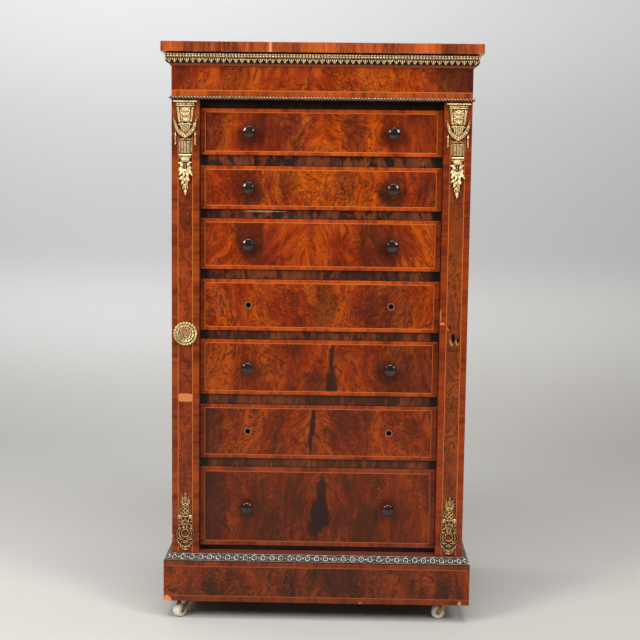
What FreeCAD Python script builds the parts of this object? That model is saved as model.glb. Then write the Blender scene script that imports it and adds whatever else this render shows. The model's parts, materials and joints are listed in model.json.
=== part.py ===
import FreeCAD, Part

import math
import os

"""A seven-drawer semainier with a fixed left stile and a hinged right stile that locks.

Frame: X to the right, Y to the back, Z up, in millimetres. The origin is on the floor,
under the middle of the top board. Every piece is its own solid; pieces of one kind that
repeat are saved together as a group of separate solids.
"""

# ---------------------------------------------------------------- carcase sizes
CARCASE_WIDTH = 610.0
CARCASE_DEPTH = 400.0
TOP_OVERHANG = 20.0
TOP_THICKNESS = 20.0
TOP_CORNER_RADIUS = 3.0
TOP_EDGE_RADIUS = 1.5
FRIEZE_HEIGHT = 93.6
BOARD_THICKNESS = 20.0
BACK_THICKNESS = 10.0
STILE_WIDTH = 56.5
STILE_THICKNESS = 20.0
POST_DEPTH = 30.0
EDGE_EASE = 0.6
CUT_MARGIN = 1.0
TOLERANCE = 1e-3

# ---------------------------------------------------------------- heights of the plinth
CASTER_HEIGHT = 41.5
PLINTH_HEIGHT = 85.5
PLINTH_OVERHANG = 16.0
PLINTH_MOULDING_HEIGHT = 16.6
PLINTH_MOULDING_DEPTH = 50.0
CORNER_BLOCK_WIDTH = 60.0

# ---------------------------------------------------------------- drawers, from the top down
DRAWER_FRONT_HEIGHTS = [94.0, 88.5, 104.5, 106.5, 115.5, 114.0, 169.0]
RAIL_HEIGHTS = [20.7, 18.0, 19.3, 17.6, 20.2, 17.7]
DRAWERS_WITHOUT_KNOBS = ("drawer_4", "drawer_6")
BOTTOM_RAIL_HEIGHT = 10.2
TOP_RAIL_HEIGHT = 16.6
RAIL_DEPTH = 50.0
RAIL_RECESS = 21.5
DRAWER_RECESS = 18.0
DRAWER_BACK_GAP = 22.0
DRAWER_FRONT_THICKNESS = 20.0
DRAWER_SIDE_THICKNESS = 9.0
DRAWER_BOTTOM_THICKNESS = 6.0
DRAWER_BOTTOM_RAISE = 6.0
DRAWER_GROOVE_DEPTH = 4.0
DRAWER_TOP_ROOM = 4.0
BACK_BOARD_DROP = 6.0
FRONT_SIDE_GAP = 0.8
FRONT_TOP_GAP = 1.0
FRONT_BOTTOM_GAP = 0.5
RUNNING_GAP = 0.3
SIDE_SET_IN = 1.2
RUNNER_REACH = 22.3
GUIDE_HEIGHT = 25.0
STOP_WIDTH = 30.0
STOP_DEPTH = 12.0
STOP_HEIGHT = 5.0
STOP_OFFSET = 180.0

# ---------------------------------------------------------------- knobs
KNOB_SPREAD = 148.0
KNOB_RADIUS = 13.0
KNOB_PROJECTION = 24.0
KNOB_CAP_RISE = 2.6
KNOB_RIM_RADIUS = 4.5
KNOB_RIM_TURN = 60.0
KNOB_FLARE_HOLLOW = 1.0
KNOB_FOOT_RADIUS = 7.5
KNOB_FOOT_THICKNESS = 2.0
KNOB_FOOT_SLOPE = 1.0
KNOB_NECK_RADIUS = 5.5
KNOB_NECK_END = 7.0
KNOB_HOLE_RADIUS = 4.0
KNOB_SPIGOT_END = 2.0
SPIGOT_CLEARANCE = 0.05

# ---------------------------------------------------------------- locking stile
STILE_END_GAP = 0.8
CLOSING_GAP = 0.3
PIVOT_FROM_SIDE = 5.0
PIVOT_FROM_BACK = 8.5
PIVOT_RADIUS = 3.0
PIVOT_LENGTH = 8.0
PIVOT_CLEARANCE = 0.05
PIVOT_COLLAR_RADIUS = 4.5
PIVOT_COLLAR_HEIGHT = 0.5
PIVOT_PLATE_LENGTH = 40.0
PIVOT_PLATE_WIDTH = 12.0
PIVOT_PLATE_THICKNESS = 2.0
PIVOT_PLATE_OVER = 3.5
PIVOT_SCREW_IN = 8.0
PIN_ROOM_GAP = 0.5
LOCK_HEIGHT = 607.0
KEYHOLE_RADIUS = 2.8
KEYHOLE_SLOT_WIDTH = 2.4
KEYHOLE_SLOT_LENGTH = 10.5
KEYHOLE_RISE = 3.5
LOCK_WIDTH = 32.0
LOCK_LENGTH = 66.0
LOCK_DEPTH = 11.0
LOCK_WALL = 1.2
LOCK_SCREW_IN = 3.0
LOCK_FLANGE = 6.0
STAPLE_SPREAD = 17.0
STAPLE_FROM_KEYHOLE = 7.0
STAPLE_HOLE = 5.0
STAPLE_WIRE = 1.6
STAPLE_THICKNESS = 4.0
STAPLE_PROJECTION = 7.2
STAPLE_PLATE_WIDTH = 24.0
STAPLE_PLATE_LENGTH = 54.0
STAPLE_PLATE_THICKNESS = 1.5
STAPLE_SCREW_IN = 5.0
STAPLE_SCREW_SIDE = 7.5
STAPLE_SLOT_GAP = 0.6
STAPLE_SWING_ROOM = 1.2
BOLT_TRAVEL = 7.0
BOLT_BAR_WIDTH = 3.0
BOLT_FINGER_WIDTH = 4.0
BOLT_THICKNESS = 3.0
ROSETTE_PIN_RADIUS = 1.8
ROSETTE_PIN_DEPTH = 6.0
ROSETTE_PIN_PLACES = [(-9.2, 20.3), (8.9, -8.4)]

# ---------------------------------------------------------------- casters
WHEEL_RADIUS = 14.0
WHEEL_WIDTH = 16.0
WHEEL_TREAD_WIDTH = 10.0
WHEEL_EDGE_RADIUS = 12.0
WHEEL_HUB_RADIUS = 6.0
WHEEL_HUB_RECESS = 1.2
AXLE_RADIUS = 2.0
AXLE_CLEARANCE = 0.05
CASTER_TRAIL = 20.0
HORN_THICKNESS = 2.6
HORN_SIDE_ROOM = 0.9
HORN_BOSS_RADIUS = 4.6
HORN_CROWN_LENGTH = 20.0
HORN_CROWN_THICKNESS = 3.0
HORN_CROWN_RADIUS = 4.0
HORN_ROOT_INSET = 3.0
HORN_ROOT_DEPTH = 1.0
AXLE_HEAD_LENGTH = 0.5
HORN_PLATE_GAP = 0.3
CASTER_PLATE_RADIUS = 19.0
CASTER_PLATE_THICKNESS = 2.5
STEM_RADIUS = 3.0
STEM_HEAD_RADIUS = 5.0
STEM_HEAD_HEIGHT = 2.0
STEM_POCKET_RADIUS = 6.0
STEM_POCKET_DEPTH = 4.0
STEM_FROM_SIDE = 42.0
STEM_FROM_FRONT = 42.0
STEM_FROM_BACK = 44.0
CASTER_SCREW_TURN = 80.0
TRAIL_ANGLES = {"front_left": 235.0, "front_right": 181.0, "back_left": 250.0, "back_right": 305.0}

# ---------------------------------------------------------------- mouldings and mounts
CORNICE_HEIGHT = 27.4
CORNICE_QUIRK_HEIGHT = 2.8
CORNICE_QUIRK_DEPTH = 1.4
CORNICE_REACH = 11.0
CORNICE_WAIST_REACH = 9.6
CORNICE_WAIST_DROP = 17.0
CORNICE_FOOT_REACH = 2.0
CORNICE_COVE_HOLLOW = 0.8
CORNICE_BORDER_THICKNESS = 1.5
CORNICE_BORDER_HEIGHT = 21.4
CORNICE_LEAF_REACH = 6.6
ROPE_RADIUS = 2.9
ROPE_DEPTH = 5.1
PLINTH_SLOPE_REACH = 5.0
PLINTH_SLOPE_RISE = 13.0
PLINTH_LIP = 1.2
PLINTH_BORDER_THICKNESS = 1.2
TOP_MOUNT_DROP = 3.0
TOP_MOUNT_BANDS = [
    (0.0, 4.5, 25.0, 24.5, 8.0),
    (4.5, 8.5, 20.5, 18.5, 5.5),
    (8.5, 12.0, 19.5, 19.0, 6.8),
    (12.0, 44.0, 18.2, 11.5, 3.5),
    (13.0, 42.5, 12.5, 9.0, 5.0),
    (44.0, 66.0, 14.5, 8.5, 5.0),
    (66.0, 104.0, 12.6, 12.4, 3.0),
    (79.0, 103.0, 9.4, 9.2, 5.5),
    (104.0, 110.5, 12.8, 12.5, 7.0),
    (110.5, 121.5, 12.4, 7.0, 6.0),
]
TOP_MOUNT_LEAF = [
    (7.0, 121.5), (15.0, 130.0), (14.0, 148.0), (9.5, 153.0), (10.5, 165.0), (5.5, 171.0),
    (5.6, 181.0), (1.8, 194.0),
]
TOP_MOUNT_LEAF_THICKNESS = 4.5
SWAG_DROP = 51.0
SWAG_RADIUS = 20.5
SWAG_THICKNESS = 3.2
TASSEL_SPREAD = 20.5
TASSEL_DROP = 36.0
TASSEL_LENGTH = 51.0
TASSEL_TOP_RADIUS = 1.6
TASSEL_END_RADIUS = 3.2
BOTTOM_MOUNT_RISE = 1.0
BOTTOM_MOUNT_OUTLINE = [
    (1.9, 127.0), (6.5, 114.5), (5.0, 101.5), (10.5, 91.5), (11.8, 70.0), (9.5, 58.5),
    (17.5, 51.0), (19.0, 35.5), (14.0, 25.5), (15.2, 15.0), (7.6, 5.0), (2.3, 0.0),
]
BOTTOM_MOUNT_HOLES = [(6.0, 38.0), (4.2, 78.5)]
BOTTOM_MOUNT_THICKNESS = 3.0
ROSETTE_RADIUS = 25.2
ROSETTE_RIM_THICKNESS = 3.0
ROSETTE_DOME_RADIUS = 12.0
ROSETTE_THICKNESS = 10.0
ROSETTE_TIP_RADIUS = 5.0
ROSETTE_HOLLOW_WIDTH = 2.0

# ---------------------------------------------------------------- screws
SCREW_RADIUS = 1.6
SCREW_HEAD_RADIUS = 3.2
SCREW_LENGTH = 14.0
SMALL_SCREW_RADIUS = 1.2
SMALL_SCREW_HEAD_RADIUS = 2.2
SMALL_SCREW_LENGTH = 9.0
PILOT_CLEARANCE = 0.02

# ---------------------------------------------------------------- places worked out from the sizes
HALF = CARCASE_WIDTH / 2
FACE_Y = -(CARCASE_DEPTH - TOP_OVERHANG) / 2
BACK_Y = FACE_Y + CARCASE_DEPTH
PLINTH_TOP = CASTER_HEIGHT + PLINTH_HEIGHT
CARCASE_BOTTOM = PLINTH_TOP + PLINTH_MOULDING_HEIGHT
FRONT_ROOM = FRONT_TOP_GAP + FRONT_BOTTOM_GAP


def opening_floors():
    """Height of the surface that each drawer stands over, for drawers 1 to 7."""
    floors = []
    height = CARCASE_BOTTOM + BOTTOM_RAIL_HEIGHT
    for index in reversed(range(len(DRAWER_FRONT_HEIGHTS))):
        floors.insert(0, height)
        height += DRAWER_FRONT_HEIGHTS[index] + FRONT_ROOM
        if index > 0:
            height += RAIL_HEIGHTS[index - 1]
    return floors


FLOORS = opening_floors()
TOP_RAIL_BOTTOM = FLOORS[0] + DRAWER_FRONT_HEIGHTS[0] + FRONT_ROOM
FRIEZE_BOTTOM = TOP_RAIL_BOTTOM + TOP_RAIL_HEIGHT
CARCASE_TOP = FRIEZE_BOTTOM + FRIEZE_HEIGHT
TOTAL_HEIGHT = CARCASE_TOP + TOP_THICKNESS
POST_HALF = HALF - STILE_WIDTH
INNER_HALF = HALF - BOARD_THICKNESS
STILE_BACK_Y = FACE_Y + STILE_THICKNESS
RAIL_FRONT_Y = FACE_Y + RAIL_RECESS
RAIL_BACK_Y = RAIL_FRONT_Y + RAIL_DEPTH
PANEL_FRONT_Y = BACK_Y - BACK_THICKNESS
DRAWER_FRONT_Y = FACE_Y + DRAWER_RECESS
FRONT_BACK_Y = DRAWER_FRONT_Y + DRAWER_FRONT_THICKNESS
DRAWER_END_Y = PANEL_FRONT_Y - DRAWER_BACK_GAP
FRONT_HALF = POST_HALF - FRONT_SIDE_GAP
DRAWER_SIDE_HALF = FRONT_HALF - SIDE_SET_IN
GUIDE_HALF = DRAWER_SIDE_HALF + FRONT_SIDE_GAP
STILE_MIDDLE = HALF - STILE_WIDTH / 2
PIVOT_X = HALF - PIVOT_FROM_SIDE
PIVOT_Y = STILE_BACK_Y - PIVOT_FROM_BACK
FLAP_BACK_Y = STILE_BACK_Y - CLOSING_GAP
FLAP_BOTTOM = CARCASE_BOTTOM + STILE_END_GAP
FLAP_TOP = FRIEZE_BOTTOM - STILE_END_GAP
LOCK_FRONT_Y = FLAP_BACK_Y - LOCK_DEPTH
LOCK_CAP_Y = FLAP_BACK_Y - LOCK_WALL
STAPLE_X = STILE_MIDDLE - STAPLE_FROM_KEYHOLE
STAPLE_HALF = STAPLE_HOLE / 2 + STAPLE_WIRE
UP = FreeCAD.Vector(0, 0, 1)
BACKWARD = FreeCAD.Vector(0, 1, 0)
SIDEWAYS = FreeCAD.Vector(1, 0, 0)


# ---------------------------------------------------------------- helpers
def point(x, y, z):
    return FreeCAD.Vector(x, y, z)


def block(x, y, z):
    """A box between the low and high values of each axis."""
    return Part.makeBox(x[1] - x[0], y[1] - y[0], z[1] - z[0], point(x[0], y[0], z[0]))


def both_sides(shape):
    """The shape and its mirror image across the middle plane."""
    return [shape, mirrored(shape)]


def mirrored(shape):
    return shape.mirror(point(0, 0, 0), SIDEWAYS)


def face_through(start, *steps):
    """A flat face. A step is a point for a straight edge, or (middle, end) for an arc."""
    edges = []
    here = start
    for step in steps:
        if isinstance(step, tuple):
            middle, there = step
            edges.append(Part.Arc(here, middle, there).toShape())
        else:
            there = step
            edges.append(Part.LineSegment(here, there).toShape())
        here = there
    edges.append(Part.LineSegment(here, start).toShape())
    return Part.Face(Part.Wire(edges))


def plan_prism(corners):
    """A prism over a plan outline, taller than the whole piece."""
    face = face_through(*[point(x, y, -CUT_MARGIN) for x, y in corners])
    return face.extrude(UP * (TOTAL_HEIGHT + 2 * CUT_MARGIN))


def mitred_round(profile, reach, inset):
    """Front length and two side returns of a moulding, cut to 45 degree mitres.

    profile takes a function that turns (distance out from the carcase, height) into a point.
    """
    front = profile(lambda out, z: point(-HALF - reach, FACE_Y - out, z))
    front = front.extrude(SIDEWAYS * (CARCASE_WIDTH + 2 * reach))
    side = profile(lambda out, z: point(HALF + out, FACE_Y - reach, z))
    side = side.extrude(BACKWARD * (CARCASE_DEPTH + reach))
    front_plan = [
        (-HALF - reach, FACE_Y - reach),
        (HALF + reach, FACE_Y - reach),
        (HALF - inset, FACE_Y + inset),
        (-HALF + inset, FACE_Y + inset),
    ]
    side_plan = [
        (HALF + reach, FACE_Y - reach),
        (HALF + reach, BACK_Y),
        (HALF - inset, BACK_Y),
        (HALF - inset, FACE_Y + inset),
    ]
    front = front.common(plan_prism(front_plan))
    side = side.common(plan_prism(side_plan))
    return [front] + both_sides(side)


def eased(shape, chosen, radius):
    """The shape with a small radius on the edges that chosen picks."""
    edges = [edge for edge in shape.Edges if chosen(edge)]
    return shape.makeFillet(radius, edges)


def runs_along(edge, axis):
    """True if a straight edge is parallel to the axis."""
    way = edge.Vertexes[-1].Point - edge.Vertexes[0].Point
    return way.cross(axis).Length < TOLERANCE


def turned(outline, start, axis):
    """A solid of revolution about a level axis. outline lists (radius, distance along the axis)."""
    corners = [start + UP * radius + axis * along for radius, along in outline]
    return face_through(*corners).revolve(start, axis, 360)


def screw(head_middle, inward, radius, head_radius, length):
    """A countersunk screw whose head is flush at head_middle."""
    cone = Part.makeCone(head_radius, radius, head_radius - radius, head_middle, inward)
    shank = Part.makeCylinder(radius, length, head_middle, inward)
    return cone.fuse(shank).removeSplitter()


def screw_hole(head_middle, inward, radius, head_radius, length):
    """The room for such a screw."""
    return screw(head_middle, inward, radius + PILOT_CLEARANCE, head_radius + PILOT_CLEARANCE,
                 length + PILOT_CLEARANCE)


def cut_all(shape, tools):
    for tool in tools:
        shape = shape.cut(tool)
    return shape


def save(name, solids):
    """Writes one node, as one solid or as a group of separate solids."""
    parts = [solid for shape in solids for solid in shape.Solids]
    for part in parts:
        if not part.isValid() or part.Volume <= 0:
            raise ValueError(f"{name} has a faulty solid")
    whole = parts[0] if len(parts) == 1 else Part.makeCompound(parts)
    whole.exportStep(os.path.join("parts", name + ".step"))
    print(f"{name}: {len(parts)} solids, {sum(part.Volume for part in parts) / 1000:.1f} cm3")


# ---------------------------------------------------------------- caster places
def caster_places():
    """Name, stem x and stem y of each caster."""
    stem_x = HALF + PLINTH_OVERHANG - STEM_FROM_SIDE
    front_y = FACE_Y - PLINTH_OVERHANG + STEM_FROM_FRONT
    back_y = BACK_Y - STEM_FROM_BACK
    return [
        ("front_left", -stem_x, front_y),
        ("front_right", stem_x, front_y),
        ("back_left", -stem_x, back_y),
        ("back_right", stem_x, back_y),
    ]


def caster_screw_points(x, y):
    """Heads of the three screws of a caster plate, kept on the corner block's side of the stem."""
    ring = (CASTER_PLATE_RADIUS + STEM_POCKET_RADIUS) / 2
    inward = 180.0 if x > 0 else 0.0
    places = []
    for turn in (-CASTER_SCREW_TURN, 0.0, CASTER_SCREW_TURN):
        angle = math.radians(inward + turn)
        places.append(point(x + ring * math.cos(angle), y + ring * math.sin(angle),
                            CASTER_HEIGHT - CASTER_PLATE_THICKNESS))
    return places


# ---------------------------------------------------------------- plinth
def make_plinth():
    plinth_half = HALF + PLINTH_OVERHANG
    front_y = FACE_Y - PLINTH_OVERHANG
    inner_half = plinth_half - BOARD_THICKNESS
    inner_front_y = front_y + BOARD_THICKNESS
    inner_back_y = BACK_Y - BOARD_THICKNESS
    height = (CASTER_HEIGHT, PLINTH_TOP)
    front = block((-plinth_half, plinth_half), (front_y, inner_front_y), height)
    front = eased(front, lambda e: runs_along(e, UP) and e.CenterOfMass.y < front_y + EDGE_EASE, EDGE_EASE)
    side = block((inner_half, plinth_half), (inner_front_y, BACK_Y), height)
    back = block((-inner_half, inner_half), (inner_back_y, BACK_Y), height)
    save("plinth_frame", [front] + both_sides(side) + [back])

    blocks = []
    for name, x, y in caster_places():
        across = (inner_half - CORNER_BLOCK_WIDTH, inner_half)
        if x < 0:
            across = (-inner_half, CORNER_BLOCK_WIDTH - inner_half)
        along = (inner_front_y, inner_front_y + CORNER_BLOCK_WIDTH)
        if y > 0:
            along = (inner_back_y - CORNER_BLOCK_WIDTH, inner_back_y)
        corner = block(across, along, height)
        pocket = Part.makeCylinder(STEM_POCKET_RADIUS, STEM_POCKET_DEPTH, point(x, y, CASTER_HEIGHT))
        holes = [screw_hole(head, UP, SCREW_RADIUS, SCREW_HEAD_RADIUS, SCREW_LENGTH)
                 for head in caster_screw_points(x, y)]
        blocks.append(cut_all(corner, [pocket] + holes))
    save("corner_blocks", blocks)


def plinth_moulding_profile(at):
    slope_top = PLINTH_TOP + PLINTH_LIP + PLINTH_SLOPE_RISE
    lip_out = PLINTH_OVERHANG - PLINTH_BORDER_THICKNESS
    return face_through(
        at(-PLINTH_MOULDING_DEPTH, PLINTH_TOP),
        at(lip_out, PLINTH_TOP),
        at(lip_out, PLINTH_TOP + PLINTH_LIP),
        at(PLINTH_SLOPE_REACH - PLINTH_BORDER_THICKNESS, slope_top),
        at(PLINTH_SLOPE_REACH, slope_top + PLINTH_LIP),
        at(PLINTH_SLOPE_REACH, CARCASE_BOTTOM),
        at(-PLINTH_MOULDING_DEPTH, CARCASE_BOTTOM),
    )


def plinth_border_profile(at):
    low = PLINTH_TOP + PLINTH_LIP
    high = low + PLINTH_SLOPE_RISE
    foot = PLINTH_OVERHANG - PLINTH_BORDER_THICKNESS
    head = PLINTH_SLOPE_REACH - PLINTH_BORDER_THICKNESS
    return face_through(
        at(foot, low),
        at(foot + PLINTH_BORDER_THICKNESS, low),
        at(head + PLINTH_BORDER_THICKNESS, high),
        at(head, high),
    )


def make_plinth_mouldings(socket_room):
    lengths = mitred_round(plinth_moulding_profile, PLINTH_OVERHANG, PLINTH_MOULDING_DEPTH)
    save("plinth_moulding", [cut_all(length, socket_room) for length in lengths])
    save("plinth_border", mitred_round(plinth_border_profile, PLINTH_OVERHANG, 0.0))


# ---------------------------------------------------------------- carcase
def make_carcase(socket_room, plate_room):
    height = (CARCASE_BOTTOM, CARCASE_TOP)
    side = block((INNER_HALF, HALF), (STILE_BACK_Y, BACK_Y), height)
    save("side_right", [side])
    save("side_left", [mirrored(side)])
    save("back_panel", [block((-INNER_HALF, INNER_HALF), (PANEL_FRONT_Y, BACK_Y), height)])
    post = block((POST_HALF, INNER_HALF), (STILE_BACK_Y, STILE_BACK_Y + POST_DEPTH), height)
    save("front_posts", [cut_all(post, plate_room), mirrored(post)])

    stile = block((-HALF, -POST_HALF), (FACE_Y, STILE_BACK_Y), (CARCASE_BOTTOM, FRIEZE_BOTTOM))
    stile = eased(stile, lambda e: runs_along(e, UP) and e.CenterOfMass.y < FACE_Y + EDGE_EASE, EDGE_EASE)
    save("fixed_stile", [stile])

    frieze = block((-HALF, HALF), (FACE_Y, STILE_BACK_Y), (FRIEZE_BOTTOM, CARCASE_TOP))
    save("frieze", [cut_all(frieze, socket_room)])

    rail_plan = ((-POST_HALF, POST_HALF), (RAIL_FRONT_Y, RAIL_BACK_Y))
    top_rail = block(*rail_plan, (TOP_RAIL_BOTTOM, FRIEZE_BOTTOM))
    bottom_rail = block(*rail_plan, (CARCASE_BOTTOM, FLOORS[-1]))
    save("end_rails", [top_rail, bottom_rail])
    rails = [block(*rail_plan, (floor - rail, floor)) for floor, rail in zip(FLOORS, RAIL_HEIGHTS)]
    save("drawer_rails", rails)
    bottom = block((-INNER_HALF, INNER_HALF), (RAIL_BACK_Y, PANEL_FRONT_Y), (CARCASE_BOTTOM, FLOORS[-1]))
    save("bottom_board", [bottom])

    supports = []
    for index, floor in enumerate(FLOORS):
        guide = block((GUIDE_HALF, INNER_HALF), (STILE_BACK_Y + POST_DEPTH, PANEL_FRONT_Y),
                      (floor, floor + GUIDE_HEIGHT))
        supports += both_sides(guide)
        if index < len(RAIL_HEIGHTS):
            runner = block((GUIDE_HALF - RUNNER_REACH, INNER_HALF), (RAIL_BACK_Y, PANEL_FRONT_Y),
                           (floor - RAIL_HEIGHTS[index], floor))
            supports += both_sides(runner)
    save("drawer_runners", supports)

    stops = []
    stop_front = FRONT_BACK_Y + RUNNING_GAP
    for floor in FLOORS:
        stop = block((STOP_OFFSET - STOP_WIDTH / 2, STOP_OFFSET + STOP_WIDTH / 2),
                     (stop_front, stop_front + STOP_DEPTH), (floor, floor + STOP_HEIGHT))
        stops += both_sides(stop)
    save("drawer_stops", stops)


# ---------------------------------------------------------------- top and cornice
def make_top():
    reach = HALF + TOP_OVERHANG
    board = block((-reach, reach), (FACE_Y - TOP_OVERHANG, BACK_Y), (CARCASE_TOP, TOTAL_HEIGHT))
    board = eased(board, lambda e: runs_along(e, UP) and e.CenterOfMass.y < 0, TOP_CORNER_RADIUS)
    board = eased(board, lambda e: e.BoundBox.ZMin > TOTAL_HEIGHT - TOLERANCE, TOP_EDGE_RADIUS)
    save("top_board", [board])


def cornice_profile(at):
    """Cove moulding under the top board: small foot, cove, upright band, quirk."""
    foot = CARCASE_TOP - CORNICE_HEIGHT
    waist = CARCASE_TOP - CORNICE_WAIST_DROP
    band_top = CARCASE_TOP - CORNICE_QUIRK_HEIGHT
    cove_middle = at((CORNICE_FOOT_REACH + CORNICE_WAIST_REACH) / 2 - CORNICE_COVE_HOLLOW,
                     (foot + waist) / 2 + CORNICE_COVE_HOLLOW)
    return face_through(
        at(0, foot),
        at(CORNICE_FOOT_REACH, foot),
        (cove_middle, at(CORNICE_WAIST_REACH, waist)),
        at(CORNICE_REACH, band_top),
        at(CORNICE_REACH - CORNICE_QUIRK_DEPTH, band_top),
        at(CORNICE_REACH - CORNICE_QUIRK_DEPTH, CARCASE_TOP),
        at(0, CARCASE_TOP),
    )


def cornice_border_profile(at):
    """Cast strip that lies on the upright band and turns in over the cove."""
    band_top = CARCASE_TOP - CORNICE_QUIRK_HEIGHT
    waist = CARCASE_TOP - CORNICE_WAIST_DROP
    tip = band_top - CORNICE_BORDER_HEIGHT
    thick = CORNICE_BORDER_THICKNESS
    return face_through(
        at(CORNICE_REACH, band_top),
        at(CORNICE_REACH + thick, band_top),
        at(CORNICE_WAIST_REACH + thick, waist),
        at(CORNICE_LEAF_REACH, tip),
        at(CORNICE_LEAF_REACH - thick, tip),
        at(CORNICE_WAIST_REACH, waist),
    )


def rope_profile(at):
    middle = FRIEZE_BOTTOM + ROPE_RADIUS
    centre_out = ROPE_DEPTH - ROPE_RADIUS
    half_chord = math.sqrt(ROPE_RADIUS ** 2 - centre_out ** 2)
    return face_through(
        at(0, middle - half_chord),
        (at(ROPE_DEPTH, middle), at(0, middle + half_chord)),
    )


def make_front_mouldings():
    reach = CORNICE_REACH + CORNICE_BORDER_THICKNESS
    save("cornice_moulding", mitred_round(cornice_profile, CORNICE_REACH, 0.0))
    save("cornice_border", mitred_round(cornice_border_profile, reach, 0.0))
    save("rope_moulding", mitred_round(rope_profile, ROPE_DEPTH, 0.0))


# ---------------------------------------------------------------- drawers
def make_knob(x, z):
    """Turned mushroom knob with a spigot that goes through the drawer front."""
    spigot = KNOB_HOLE_RADIUS - SPIGOT_CLEARANCE
    inside = DRAWER_FRONT_THICKNESS + KNOB_SPIGOT_END
    start = point(x, DRAWER_FRONT_Y, z)

    def at(radius, out):
        return start + UP * radius - BACKWARD * out

    turn = math.radians(KNOB_RIM_TURN)
    rim_edge = KNOB_RADIUS - KNOB_RIM_RADIUS * (1 - math.cos(turn))
    rim_high = KNOB_PROJECTION - KNOB_CAP_RISE
    rim_half = KNOB_RIM_RADIUS * math.sin(turn)
    cap_radius = (rim_edge ** 2 + KNOB_CAP_RISE ** 2) / (2 * KNOB_CAP_RISE)
    cap_middle = KNOB_PROJECTION - cap_radius + math.sqrt(cap_radius ** 2 - (rim_edge / 2) ** 2)
    flare_out = (KNOB_NECK_END + rim_high - 2 * rim_half) / 2
    flare_radius = (KNOB_NECK_RADIUS + rim_edge) / 2 - KNOB_FLARE_HOLLOW
    head = face_through(
        at(0, 0),
        at(KNOB_FOOT_RADIUS, 0),
        at(KNOB_FOOT_RADIUS, KNOB_FOOT_THICKNESS),
        at(KNOB_NECK_RADIUS, KNOB_FOOT_THICKNESS + KNOB_FOOT_SLOPE),
        at(KNOB_NECK_RADIUS, KNOB_NECK_END),
        (at(flare_radius, flare_out + KNOB_FLARE_HOLLOW), at(rim_edge, rim_high - 2 * rim_half)),
        (at(KNOB_RADIUS, rim_high - rim_half), at(rim_edge, rim_high)),
        (at(rim_edge / 2, cap_middle), at(0, KNOB_PROJECTION)),
    ).revolve(start, BACKWARD, 360)
    return head.fuse(Part.makeCylinder(spigot, inside, start, BACKWARD)).removeSplitter()


def make_drawer(number, floor, height):
    front_bottom = floor + FRONT_BOTTOM_GAP
    front_top = front_bottom + height
    knob_z = (front_bottom + front_top) / 2
    side_low = floor + RUNNING_GAP
    side_high = front_top - DRAWER_TOP_ROOM
    bottom_low = side_low + DRAWER_BOTTOM_RAISE
    bottom_high = bottom_low + DRAWER_BOTTOM_THICKNESS
    inner = DRAWER_SIDE_HALF - DRAWER_SIDE_THICKNESS

    bottom = block((-inner - DRAWER_GROOVE_DEPTH, inner + DRAWER_GROOVE_DEPTH),
                   (FRONT_BACK_Y - DRAWER_GROOVE_DEPTH, DRAWER_END_Y), (bottom_low, bottom_high))
    side = block((inner, DRAWER_SIDE_HALF), (FRONT_BACK_Y, DRAWER_END_Y), (side_low, side_high))
    side = side.cut(bottom)
    back = block((-inner, inner), (DRAWER_END_Y - DRAWER_SIDE_THICKNESS, DRAWER_END_Y),
                 (bottom_high, side_high - BACK_BOARD_DROP))
    save(f"drawer_{number}_box", both_sides(side) + [back, bottom])

    front = block((-FRONT_HALF, FRONT_HALF), (DRAWER_FRONT_Y, FRONT_BACK_Y), (front_bottom, front_top))
    front = eased(front, lambda e: abs(e.CenterOfMass.y - DRAWER_FRONT_Y) < TOLERANCE, EDGE_EASE)
    front = front.cut(bottom)
    for x in (-KNOB_SPREAD, KNOB_SPREAD):
        hole = Part.makeCylinder(KNOB_HOLE_RADIUS, DRAWER_FRONT_THICKNESS + 2 * CUT_MARGIN,
                                 point(x, DRAWER_FRONT_Y - CUT_MARGIN, knob_z), BACKWARD)
        front = front.cut(hole)
    save(f"drawer_{number}_front", [front])
    if f"drawer_{number}" not in DRAWERS_WITHOUT_KNOBS:
        save(f"drawer_{number}_knobs", [make_knob(x, knob_z) for x in (-KNOB_SPREAD, KNOB_SPREAD)])


# ---------------------------------------------------------------- locking stile
def pivot_plate_block(top, thickness, upward):
    """A plate let into an end of the stile, or into what lies over or under it."""
    right = PIVOT_X + PIVOT_PLATE_OVER
    across = (right - PIVOT_PLATE_LENGTH, right)
    along = (PIVOT_Y - PIVOT_PLATE_WIDTH / 2, PIVOT_Y + PIVOT_PLATE_WIDTH / 2)
    height = (top, top + thickness) if upward else (top - thickness, top)
    return block(across, along, height)


def pivot_screw_point(z):
    return point(PIVOT_X + PIVOT_PLATE_OVER - PIVOT_PLATE_LENGTH + PIVOT_SCREW_IN, PIVOT_Y, z)


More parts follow.
